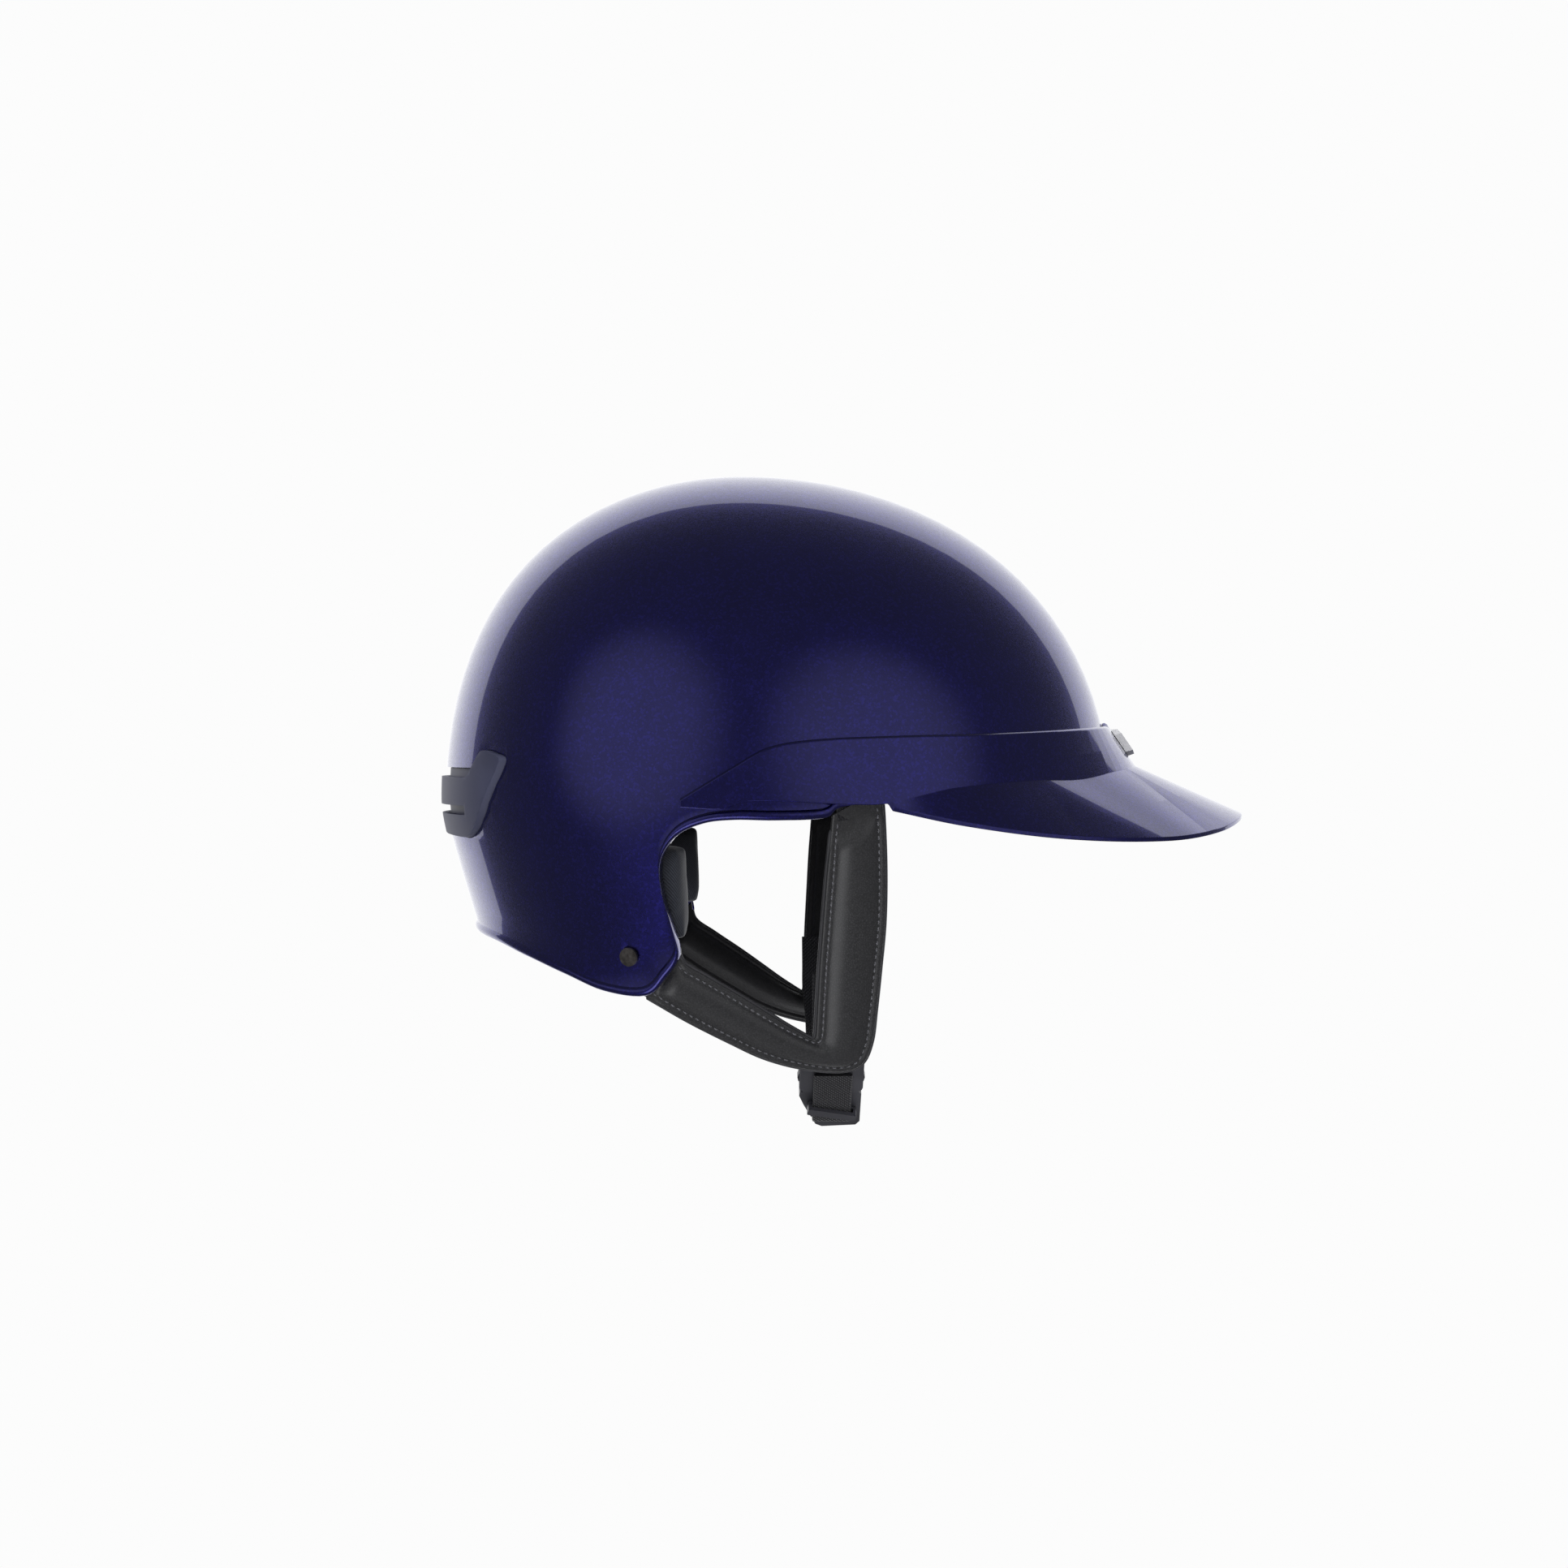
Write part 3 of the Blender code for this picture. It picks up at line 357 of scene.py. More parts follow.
def carve(thing, tools, operation="DIFFERENCE"):
    """Cut or trim an object with tools and delete them."""
    for tool in tools:
        change = thing.modifiers.new("carve", "BOOLEAN")
        change.operation = operation
        change.object = tool
        change.solver = "EXACT"
    settle(thing)
    for tool in tools:
        bpy.data.objects.remove(tool, do_unlink=True)


def soften(thing, width, segments=2, fold_deg=30.0):
    """Round an object's folds with a bevel; width is in millimetres."""
    bevel = thing.modifiers.new("soft_edges", "BEVEL")
    bevel.width = width * MM
    bevel.segments = segments
    bevel.limit_method = "ANGLE"
    bevel.angle_limit = math.radians(fold_deg)


def tube(name, path, radius, sides=8):
    """A round cord along a path, closed at its ends."""
    rings = []
    for index, here in enumerate(path):
        along = (path[min(index + 1, len(path) - 1)] - path[max(index - 1, 0)]).normalized()
        across = along.cross(Vector((0.0, 1.0, 0.2))).normalized()
        up = along.cross(across)
        shrink = 0.3 if index in (0, len(path) - 1) else 1.0
        rings.append([here + (across * math.cos(turn) + up * math.sin(turn)) * radius * shrink
                      for turn in (2.0 * math.pi * step / sides for step in range(sides))])
    return skin(name, rings, fold_deg=60.0)


def finish_piece(thing, made):
    """Give a piece its material and the slot that it takes its finish from."""
    thing.data.materials.clear()
    thing.data.materials.append(made)


def dress_node(name, made, bevel_mm):
    """Give a frame node a finish and soft edges."""
    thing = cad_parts[name]
    for holder in thing.material_slots:
        holder.material = made
    if bevel_mm > 0.0:
        soften(thing, bevel_mm, 2, 35.0)


# Materials.

def add(tree, kind, links=None, **settings):
    """Add a node; links maps its inputs to values or to other nodes' outputs."""
    made = tree.nodes.new("ShaderNode" + kind)
    for name, value in settings.items():
        setattr(made, name, value)
    for socket, value in (links or {}).items():
        if isinstance(value, bpy.types.NodeSocket):
            tree.links.new(value, made.inputs[socket])
        else:
            made.inputs[socket].default_value = value
    return made


def new_material(name, settings):
    """A material with its Principled shader's sockets set, as (material, tree, shader)."""
    made = bpy.data.materials.new(name)
    made.use_nodes = True
    tree = made.node_tree
    shader = tree.nodes["Principled BSDF"]
    for socket, value in settings.items():
        shader.inputs[socket].default_value = value
    return made, tree, shader


def shade_between(tree, amount, dark, light, low=0.3, high=0.7):
    """A colour that goes from dark to light as amount goes from low to high."""
    ramp = add(tree, "ValToRGB", {"Fac": amount})
    ramp.color_ramp.elements[0].position = low
    ramp.color_ramp.elements[0].color = (*dark, 1.0)
    ramp.color_ramp.elements[1].position = high
    ramp.color_ramp.elements[1].color = (*light, 1.0)
    return ramp.outputs["Color"]


def scaled(colour, share):
    """A linear colour made darker or lighter."""
    return tuple(min(channel * share, 1.0) for channel in colour)


def object_place(tree):
    """Coordinates fixed to the piece, in metres."""
    return add(tree, "TexCoord").outputs["Object"]


def relief(tree, shader, height, depth_mm, strength=1.0, under=None):
    """Feed a height pattern to a shader as bump of a real depth."""
    links = {"Height": height, "Distance": depth_mm * MM, "Strength": strength}
    if under is not None:
        links["Normal"] = under
    bump = add(tree, "Bump", links)
    tree.links.new(bump.outputs["Normal"], shader.inputs["Normal"])
    return bump.outputs["Normal"]


def flake_paint(colour, flake_mm):
    """Metallic car-type paint under a polished clear coat: deep blue flakes glow where light
    strikes them, and the coat mirrors the surroundings. Real flakes are under 0.1 mm; they are
    drawn coarser so that they show."""
    made, tree, shader = new_material("metallic_flake_clearcoat", {
        "Metallic": 1.0, "Roughness": 0.28, "Coat Weight": 1.0, "Coat Roughness": 0.015,
        "Coat IOR": 1.5})
    place = object_place(tree)
    cells = add(tree, "TexVoronoi", {"Vector": place, "Scale": 1.0 / (flake_mm * MM)})
    spread = add(tree, "SeparateColor", {"Color": cells.outputs["Color"]})
    cloud = add(tree, "TexNoise", {"Vector": place, "Scale": 60.0, "Detail": 3.0})
    base = shade_between(tree, spread.outputs["Red"], scaled(colour, 0.85), scaled(colour, 1.6),
                         0.6, 1.0)
    toned = add(tree, "Mix", {"Factor": 0.25, "A": base, "B": shade_between(
        tree, cloud.outputs["Fac"], scaled(colour, 0.6), scaled(colour, 1.25))}, data_type="RGBA")
    tree.links.new(toned.outputs["Result"], shader.inputs["Base Color"])
    rough = add(tree, "MapRange", {"Value": spread.outputs["Green"], "To Min": 0.24,
                                   "To Max": 0.34})
    tree.links.new(rough.outputs["Result"], shader.inputs["Roughness"])
    relief(tree, shader, spread.outputs["Blue"], 0.012, 0.5)
    peel = add(tree, "TexNoise", {"Vector": place, "Scale": 160.0, "Detail": 1.0})
    coat = add(tree, "Bump", {"Height": peel.outputs["Fac"], "Distance": 0.004 * MM,
                              "Strength": 0.4})
    tree.links.new(coat.outputs["Normal"], shader.inputs["Coat Normal"])
    return made


def fine_texture(name, colour, roughness, grain_mm, depth_mm, specular=0.5, wear=1.5):
    """Injection-moulded plastic with a fine spark-eroded texture: an even, soft-edged sheen
    that breaks up slightly, and paler where handling has rubbed it."""
    made, tree, shader = new_material(name, {"Specular IOR Level": specular, "IOR": 1.49})
    place = object_place(tree)
    grain = add(tree, "TexNoise", {"Vector": place, "Scale": 1.0 / (grain_mm * MM), "Detail": 2.0})
    cloud = add(tree, "TexNoise", {"Vector": place, "Scale": 45.0, "Detail": 4.0})
    tree.links.new(shade_between(tree, cloud.outputs["Fac"], scaled(colour, 0.85),
                                 scaled(colour, wear), 0.35, 0.75), shader.inputs["Base Color"])
    rough = add(tree, "MapRange", {"Value": cloud.outputs["Fac"], "To Min": roughness - 0.06,
                                   "To Max": roughness + 0.08})
    tree.links.new(rough.outputs["Result"], shader.inputs["Roughness"])
    relief(tree, shader, grain.outputs["Fac"], depth_mm, 0.6)
    return made


def bead_foam(colour, bead_mm):
    """Moulded expanded-polystyrene foam: a matt skin with the outlines of its beads, darkened along
    the grooves between them as painted shade.
    """
    made, tree, shader = new_material("moulded_bead_foam", {"Roughness": 0.88})
    place = object_place(tree)
    cells = add(tree, "TexVoronoi", {"Vector": place, "Scale": 1.0 / (bead_mm * MM)},
                feature="DISTANCE_TO_EDGE")
    # Darker along the bead outlines, where the relief sinks: painted shade in the grooves.
    tree.links.new(shade_between(tree, cells.outputs["Distance"], scaled(colour, 0.6), colour,
                                 0.0, 0.12), shader.inputs["Base Color"])
    relief(tree, shader, cells.outputs["Distance"], 0.5, 0.6)
    return made


def napped_knit(name, colour, stitch_mm):
    """Brushed polyester knit over foam: a matt nap with faint wales and a soft bloom at
    grazing angles."""
    made, tree, shader = new_material(name, {
        "Roughness": 0.95, "Specular IOR Level": 0.2, "Sheen Weight": 0.35,
        "Sheen Roughness": 0.4})
    place = object_place(tree)
    wales = add(tree, "TexWave", {"Vector": place, "Scale": 0.6 / (stitch_mm * MM),
                                  "Distortion": 1.0, "Detail": 1.0}, bands_direction="DIAGONAL")
    nap = add(tree, "TexNoise", {"Vector": place, "Scale": 900.0, "Detail": 4.0})
    mixed = add(tree, "Math", {0: wales.outputs["Fac"], 1: nap.outputs["Fac"]}, operation="ADD")
    half = add(tree, "Math", {0: mixed.outputs["Value"], 1: 0.5}, operation="MULTIPLY")
    tree.links.new(shade_between(tree, half.outputs["Value"], scaled(colour, 0.6),
                                 scaled(colour, 1.4)), shader.inputs["Base Color"])
    relief(tree, shader, half.outputs["Value"], 0.15, 0.6)
    return made


def grained_leather(colour, grain_mm):
    """Coated leather with an embossed pebble grain: satin, with broad highlights broken by the
    grain. Its colour is darker in the grooves between the pebbles and paler on their raised tops,
    which is painted shade on the grain."""
    made, tree, shader = new_material("grained_coated_leather", {
        "Specular IOR Level": 0.5, "Coat Weight": 0.9, "Coat Roughness": 0.32})
    place = object_place(tree)
    pebbles = add(tree, "TexVoronoi", {"Vector": place, "Scale": 1.0 / (grain_mm * MM),
                                       "Randomness": 0.9}, feature="DISTANCE_TO_EDGE")
    folds = add(tree, "TexNoise", {"Vector": place, "Scale": 110.0, "Detail": 5.0,
                                   "Distortion": 0.8})
    # Darker in the grooves between the pebbles and paler on their tops: painted shade on the grain.
    tree.links.new(shade_between(tree, pebbles.outputs["Distance"], scaled(colour, 0.55),
                                 scaled(colour, 1.2), 0.0, 0.25), shader.inputs["Base Color"])
    rough = add(tree, "MapRange", {"Value": folds.outputs["Fac"], "To Min": 0.36, "To Max": 0.56})
    tree.links.new(rough.outputs["Result"], shader.inputs["Roughness"])
    first = relief(tree, shader, folds.outputs["Fac"], 0.5, 0.35)
    relief(tree, shader, pebbles.outputs["Distance"], 0.2, 0.9, first)
    return made


def woven_webbing(name, colour, thread_mm, from_uv):
    """Polyester webbing: a diagonal twill, matt with a silky glint, painted lighter on its raised
    threads and darker between them as painted highlight and painted shade. Its real threads are
    0.35 mm; they are drawn coarser so that they show."""
    made, tree, shader = new_material(name, {
        "Roughness": 0.62, "Specular IOR Level": 0.35, "Sheen Weight": 0.25,
        "Sheen Roughness": 0.35})
    place = add(tree, "TexCoord").outputs["UV" if from_uv else "Object"]
    bands = []
    for direction in ("X", "DIAGONAL"):
        wave = add(tree, "TexWave", {"Vector": place, "Scale": 0.314 / (thread_mm * MM),
                                     "Distortion": 0.4, "Detail": 1.0},
                   bands_direction=direction)
        bands.append(wave.outputs["Fac"])
    weave = add(tree, "Math", {0: bands[0], 1: bands[1]}, operation="MULTIPLY")
    fuzz = add(tree, "TexNoise", {"Vector": place, "Scale": 1500.0, "Detail": 2.0})
    height = add(tree, "Math", {0: fuzz.outputs["Fac"], 1: 0.25, 2: weave.outputs["Value"]},
                 operation="MULTIPLY_ADD")
    # Lighter on the raised threads and darker between them: painted highlight and painted shade on
    # the weave.
    tree.links.new(shade_between(tree, height.outputs["Value"], scaled(colour, 0.5),
                                 scaled(colour, 2.2), 0.1, 0.95), shader.inputs["Base Color"])
    relief(tree, shader, height.outputs["Value"], 0.3, 0.9)
    return made


def spun_thread(colour):
    """Bonded polyester sewing thread: two plies twisted together, with a slight gloss."""
    made, tree, shader = new_material("bonded_thread", {"Roughness": 0.5})
    place = object_place(tree)
    plies = add(tree, "TexWave", {"Vector": place, "Scale": 700.0}, bands_direction="DIAGONAL")
    tree.links.new(shade_between(tree, plies.outputs["Fac"], scaled(colour, 0.6),
                                 scaled(colour, 1.3)), shader.inputs["Base Color"])
    relief(tree, shader, plies.outputs["Fac"], 0.08, 0.6)
    return made


def blackened_steel(colour):
    """Black-oxide steel: a dark metal with an even satin finish and small paler rubbed spots."""
    made, tree, shader = new_material("black_oxide_steel", {"Metallic": 0.9})
    place = object_place(tree)
    rubbed = add(tree, "TexNoise", {"Vector": place, "Scale": 420.0, "Detail": 5.0})
    tree.links.new(shade_between(tree, rubbed.outputs["Fac"], colour, scaled(colour, 2.6),
                                 0.45, 0.8), shader.inputs["Base Color"])
    rough = add(tree, "MapRange", {"Value": rubbed.outputs["Fac"], "To Min": 0.24,
                                   "To Max": 0.46})
    tree.links.new(rough.outputs["Result"], shader.inputs["Roughness"])
    relief(tree, shader, rubbed.outputs["Fac"], 0.02, 0.4)
    return made


def material_of(kind):
    """The material of a kind, made once."""
    sizes = bpy.context.scene.helmet_sizes
    colours = bpy.context.scene.helmet_colours
    makers = {
        "paint": lambda: flake_paint(tuple(colours.paint), sizes.flake),
        "vent": lambda: fine_texture("matt_moulded_abs", tuple(colours.vent), 0.46, 0.5, 0.03,
                                     0.35, 1.2),
        "foam": lambda: bead_foam(tuple(colours.foam), sizes.foam_bead),
        "knit": lambda: napped_knit("brushed_knit", tuple(colours.knit), sizes.knit_wale),
        "ear_knit": lambda: napped_knit("brushed_ear_knit", tuple(colours.ear_knit),
                                        sizes.knit_wale),
        "leather": lambda: grained_leather(tuple(colours.leather), sizes.leather_grain),
        "thread": lambda: spun_thread(tuple(colours.thread)),
        "piping": lambda: fine_texture("extruded_vinyl_piping", tuple(colours.piping), 0.42, 0.4,
                                       0.02),
        "webbing": lambda: woven_webbing("twill_webbing", tuple(colours.webbing),
                                         sizes.webbing_thread, True),
        "anchor": lambda: woven_webbing("twill_webbing_stub", tuple(colours.webbing),
                                        sizes.webbing_thread, False),
        "acetal": lambda: fine_texture("moulded_acetal", tuple(colours.acetal), 0.34, 0.35, 0.015,
                                       0.6),
        "plate": lambda: fine_texture("satin_enamelled_plate", tuple(colours.plate), 0.3, 0.8,
                                      0.003, 0.6, 1.1),
        "steel": lambda: blackened_steel(tuple(colours.steel)),
    }
    if kind not in MATERIALS:
        MATERIALS[kind] = makers[kind]()
    return MATERIALS[kind]


MATERIALS = {}


# Shell, vent, lining.

def rim_columns(rim, brow, nape, steps):
    """Columns round the dome as (upper angle, rim angle, rim latitude), right round the head."""
    points = [(0.0, 0.0, brow)]
    points += [(math.radians(above), angle_at(x, z), z) for x, z, above in rim]
    points.append((math.pi, math.pi, nape))
    half = [(above, angle, latitude_at(z)) for above, angle, z in smooth_path(points, steps)]
    others = [(-above, -angle, latitude) for above, angle, latitude in half[-2:0:-1]]
    return half + others


def bead_height(x, down):
    """How proud the rolled rim stands at a distance up from the edge; it fades under the peak."""
    fade = min(max((BEAD_FADE_X - x) / BEAD_FADE_LENGTH, 0.0), 1.0)
    round_share = 1.0 - ((down - BEAD_MIDDLE) / BEAD_HALF) ** 2
    return bpy.context.scene.helmet_sizes.bead * fade * math.sqrt(max(round_share, 0.0))


def dome_ring(column, outer, inner, with_bead=False):
    """One column of a dome-shaped wall: down its outer face and back up its inner face."""
    ring_angle, rim_angle, rim_latitude = column
    ring_latitude = math.radians(RIM_RING_DEG)
    rim_point = dome_face(rim_angle, rim_latitude)
    reach = (dome_face(ring_angle, ring_latitude) - rim_point).length
    arch = [(ring_angle, math.radians(degrees)) for degrees in FINE_ARCH]
    wall = 1.0 - BEAD_ROWS[0] / reach
    shares = [wall * step / 9.0 for step in range(9)]
    inner_rows = len(shares) + 1
    shares += [1.0 - down / reach for down in (BEAD_ROWS if with_bead else BEAD_ROWS[:1])]
    lower = [(ring_angle + (rim_angle - ring_angle) * share,
              ring_latitude + (rim_latitude - ring_latitude) * share) for share in shares + [1.0]]
    points = []
    for angle, latitude in arch + lower:
        place = dome_face(angle, latitude)
        down = (place - rim_point).length
        proud = bead_height(place.x, down) if with_bead and down < BEAD_REACH else 0.0
        points.append(dome(angle, latitude, proud - outer))
    back = arch + lower[:inner_rows] + [lower[-1]]
    points += [dome(angle, latitude, -inner) for angle, latitude in reversed(back)]
    return points


def rounded(outline, radius, steps=4):
    """An outline whose corners are turned into short curves."""
    made = []
    for index, here in enumerate(outline):
        corner = Vector(here)
        before = Vector(outline[index - 1]) - corner
        after = Vector(outline[(index + 1) % len(outline)]) - corner
        cut = min(radius, before.length * 0.45, after.length * 0.45)
        start = corner + before.normalized() * cut
        end = corner + after.normalized() * cut
        for step in range(steps + 1):
            t = step / steps
            point = start * (1 - t) ** 2 + corner * 2 * t * (1 - t) + end * t**2
            made.append((point.x, point.y))
    return made


def vent_prism(name, half, grow):
    """The vent's outline grown by a gap and drawn through the back of the shell."""
    whole = rounded(half + [(-y, z) for y, z in half[-2:0:-1]], VENT_CORNER)
    grown = []
    for index, here in enumerate(whole):
        before = Vector(whole[index - 1])
        after = Vector(whole[(index + 1) % len(whole)])
        along = (after - before).normalized()
        grown.append(Vector(here) + Vector((-along.y, along.x)) * grow)
    return prism(name, grown, *VENT_DEPTHS, rear_frame())


def rear_frame():
    """A frame whose x runs along +Y and y along +Z, for outlines seen from behind."""
    return Matrix(((0.0, 0.0, 1.0, 0.0), (1.0, 0.0, 0.0, 0.0), (0.0, 1.0, 0.0, 0.0),
                   (0.0, 0.0, 0.0, 1.0)))


def make_shell():
    """The painted outer shell with its rolled rim, vent opening and rivet holes."""
    columns = rim_columns(RIM, BROW_Z, NAPE_Z, 6)
    rings = [dome_ring(column, 0.0, SHELL_WALL, True) for column in columns]
    shell = skin("painted_shell", rings, wrap_rings=True, wrap_loop=False)
    tools = [vent_prism("vent_opening", VENT_OPENING + VENT_OUTLINE[2:], GAP)]
    for side, _ in SIDES:
        for place, radius in ((REAR_RIVET, RIVET_SHANK), (FRONT_RIVET, RIVET_HEAD)):
            point, normal = shell_place(place, side)
            tools.append(disc("rivet_hole", point, normal, radius + GAP, -8.0, 6.0, 32))
    carve(shell, tools)
    soften(shell, 0.35, 2, 50.0)
    settle(shell, 40.0)
    finish_piece(shell, material_of("paint"))
    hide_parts("outer_shell")
    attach(shell, "helmet")


def pad_ring(angle, low, high, outer, inner, rows):
    """One column of a pad that lies against the dome, thinner at its upper and lower edges."""
    middle = (outer + inner) / 2.0
    half = (inner - outer) / 2.0
    points = []
    for side in (1.0, -1.0):
        order = range(rows + 1) if side > 0 else range(rows, -1, -1)
        for row in order:
            edge = min(row, rows - row) / (rows / 2.0)
            plump = 0.45 + 0.55 * math.sqrt(1.0 - (1.0 - min(edge * 2.2, 1.0)) ** 2)
            latitude = latitude_at(low + (high - low) * row / rows)
            points.append(dome(angle, latitude, -(middle - side * half * plump)))
    return points


def make_vent():
    """The moulded louvre insert at the back, standing a little proud in its opening."""
    half_width, low, high = VENT_SLOT
    corners = [(-half_width, low), (half_width, low), (half_width, high), (-half_width, high)]
    slot = prism("vent_slot", rounded(corners, 1.2), *VENT_DEPTHS, rear_frame())
    insert = vent_layer("louvred_vent", VENT_PROUD, -VENT_BACK_DEPTH, VENT_OUTLINE)
    carve(insert, [slot])
    soften(insert, 0.7, 3, 35.0)
    settle(insert)
    backing = vent_layer("vent_backing", -VENT_BACK_DEPTH - 0.1, -SHELL_WALL,
                         VENT_OPENING + VENT_OUTLINE[2:])
    for layer in (insert, backing):
        finish_piece(layer, material_of("vent"))
        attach(layer, "helmet")
    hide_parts("rear_vent")


def vent_layer(name, outwards, inwards, outline):
    """One layer of the vent between two depths, trimmed to an outline."""
    heights = [VENT_LOW_Z + VENT_ROW * row for row in range(VENT_ROWS)]
    rings = []
    for degrees in range(-VENT_HALF_DEG, VENT_HALF_DEG + 1, 2):
        turn = math.pi + math.radians(degrees)
        face = [dome(turn, latitude_at(z), outwards) for z in heights]
        back = [dome(turn, latitude_at(z), inwards) for z in reversed(heights)]
        rings.append(face + back)
    layer = skin(name, rings)
    carve(layer, [vent_prism("vent_outline", outline, 0.0)], "INTERSECT")
    return layer


def make_liner():
    """The bead-foam liner inside the shell."""
    columns = rim_columns(LINER_RIM, LINER_BROW_Z, LINER_NAPE_Z, 4)
    rings = [dome_ring(column, LINER_OUTER, LINER_INNER) for column in columns]
    liner = skin("bead_foam_liner", rings, wrap_rings=True, wrap_loop=False)
    tools = []
    for side, _ in SIDES:
        point, normal = shell_place(FRONT_RIVET, side)
        tools.append(disc("pocket", point, normal, WASHER + 1.0, -POCKET_DEPTH, 3.0, 32))
    carve(liner, tools)
    soften(liner, 0.8, 2, 50.0)
    settle(liner, 40.0)
    finish_piece(liner, material_of("foam"))
    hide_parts("impact_liner")
    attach(liner, "helmet")


def puff(thing, voxel_mm, pressure, cap_mm):
    """Swell a pad with a short pressure simulation, hold every point near its start, smooth it."""
    remesh = thing.modifiers.new("even_mesh", "REMESH")
    remesh.mode = "VOXEL"
    remesh.voxel_size = voxel_mm * MM
    settle(thing, 80.0)
    swell(thing, pressure, cap_mm)
    finer = thing.modifiers.new("smooth", "SUBSURF")
    finer.levels = 1
    finer.render_levels = 1
    settle(thing, 80.0)


def swell(thing, pressure, cap_mm):
    """Run the cloth and keep its capped movement."""
    scene = bpy.context.scene
    cloth = thing.modifiers.new("swell", "CLOTH")
    cloth.settings.use_pressure = True
    cloth.settings.uniform_pressure_force = pressure
    cloth.settings.effector_weights.gravity = 0.0
    cloth.point_cache.frame_start = 1
    cloth.point_cache.frame_end = SWELL_FRAMES
    for step in range(1, SWELL_FRAMES + 1):
        scene.frame_set(step)
    graph = bpy.context.evaluated_depsgraph_get()
    swollen = [vertex.co.copy() for vertex in thing.evaluated_get(graph).data.vertices]
    thing.modifiers.clear()
    scene.frame_set(1)
    for vertex, place in zip(thing.data.vertices, swollen):
        move = place - vertex.co
        if move.length > cap_mm * MM:
            move = move.normalized() * cap_mm * MM
        vertex.co = vertex.co + move


def finish_pad(thing, node, swelling, knit):
    puff(thing, *swelling)
    finish_piece(thing, material_of(knit))
    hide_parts(node)
    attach(thing, "helmet")


def dome_pad(name, turns, low, high, outer, inner):
    """A pad between two heights over a list of plan angles."""
    return skin(name, [pad_ring(turn, low, high, outer, inner, 14) for turn in turns])


def make_pads():
    """Comfort pads at the crown, brow and nape, and one behind each ear."""
    arch = [math.radians(90.0 - step * 2.6) for step in range(13)]
    rings = []
    for step in range(72):
        turn = 2.0 * math.pi * step / 72
        outer = [dome(turn, latitude, -LINER_INNER - PAD_GAP) for latitude in arch]
        inner = [dome(turn, latitude, -COMFORT_INNER) for latitude in reversed(arch)]
        rings.append(outer + inner)
    crown = skin("knit_crown_pad", rings, wrap_rings=True, wrap_loop=False)
    finish_pad(crown, "crown_pad", CROWN_SWELL, "knit")

    turns = [math.radians(degrees) for degrees in range(-64, 65, 4)]
    brow = dome_pad("knit_brow_pad", turns, 0.6, 25.4, LINER_INNER + PAD_GAP, COMFORT_INNER)
    finish_pad(brow, "brow_pad", BROW_SWELL, "knit")

    turns = [math.pi + math.radians(degrees) for degrees in range(-40, 41, 4)]
    nape = dome_pad("knit_nape_pad", turns, NAPE_Z + 3.8, -24.8, SHELL_WALL + PAD_GAP,
                    EAR_PAD_INNER)
    finish_pad(nape, "nape_pad", REAR_SWELL, "ear_knit")
    for side, label in SIDES:
        turns = [side * math.radians(102.4 + 2.0 * step) for step in range(16)]
        ear = dome_pad("knit_ear_pad_" + label, turns, -57.0, -22.0, SHELL_WALL + EAR_PAD_GAP,
                       EAR_PAD_INNER)
        finish_pad(ear, "ear_pad_" + label, REAR_SWELL, "ear_knit")


# Peak.

def band_angle(x, z):
    """The plan angle of the band's point at x, on the left side, past the front as 0."""
    return angle_at(min(x, dome_face(0.0, latitude_at(z)).x), z)


def band_point(angle, z, outwards):
    """A point of the band; behind the widest place it runs straight back, clear of the shell."""
    latitude = latitude_at(z)
    widest = math.pi / 2.0
    if abs(angle) <= widest:
        return dome(angle, latitude, outwards)
    point = dome(math.copysign(widest, angle), latitude, outwards)
    return Vector((dome_face(angle, latitude).x, point.y, point.z))


def flare(angle):
    """How far the band's lower edge stands off beyond its wall, most at the front."""
    turn = min(abs(math.degrees(angle)) / BAND_FLARE_DEG, 1.0)
    return BAND_FLARE * math.cos(turn * math.pi / 2.0) ** 2


def brim_edge_point(x):
    """A point of the brim's edge at x, on the left side."""
    share = min((x - BRIM_CENTRE_X) / BRIM_LENGTH, 1.0)
    return Vector((x, BRIM_HALF_WIDTH * math.sqrt(1.0 - share**2), between(BRIM_EDGE, x)))


def edge_turn(x):
    """The ellipse angle of the brim's edge at x."""
    return math.acos(min((x - BRIM_CENTRE_X) / BRIM_LENGTH, 1.0))


def peak_stations():
    """Stations from the front to the tab as (band angle, edge x); the brim ends at its centre."""
    front_x = CROWN_X + HALF_LENGTH + EGG + PLAN_SHIFT
    corners = [(front_x, BRIM_CENTRE_X + BRIM_LENGTH), *reversed(FACETS),
               (BRIM_CENTRE_X, BRIM_CENTRE_X)]
    stations = []
    for (band0, edge0), (band1, edge1) in zip(corners, corners[1:]):
        steps = SIDE_STEPS if band1 == BRIM_CENTRE_X else FACET_STEPS
        for step in range(steps):
            share = step / steps
            turn0, turn1 = band_angle(band0, 5.0), band_angle(band1, 5.0)
            turn = turn0 + (turn1 - turn0) * share
            edge = edge_turn(edge0) + (edge_turn(edge1) - edge_turn(edge0)) * share
            stations.append((turn, BRIM_CENTRE_X + BRIM_LENGTH * math.cos(edge)))
    stations += [(band_angle(BRIM_CENTRE_X - TAB_STEP * step, 0.0), None)
                 for step in range(TAB_STEPS)]
    stations.append((band_angle(TAB_END_X, 0.0), None))
    return stations


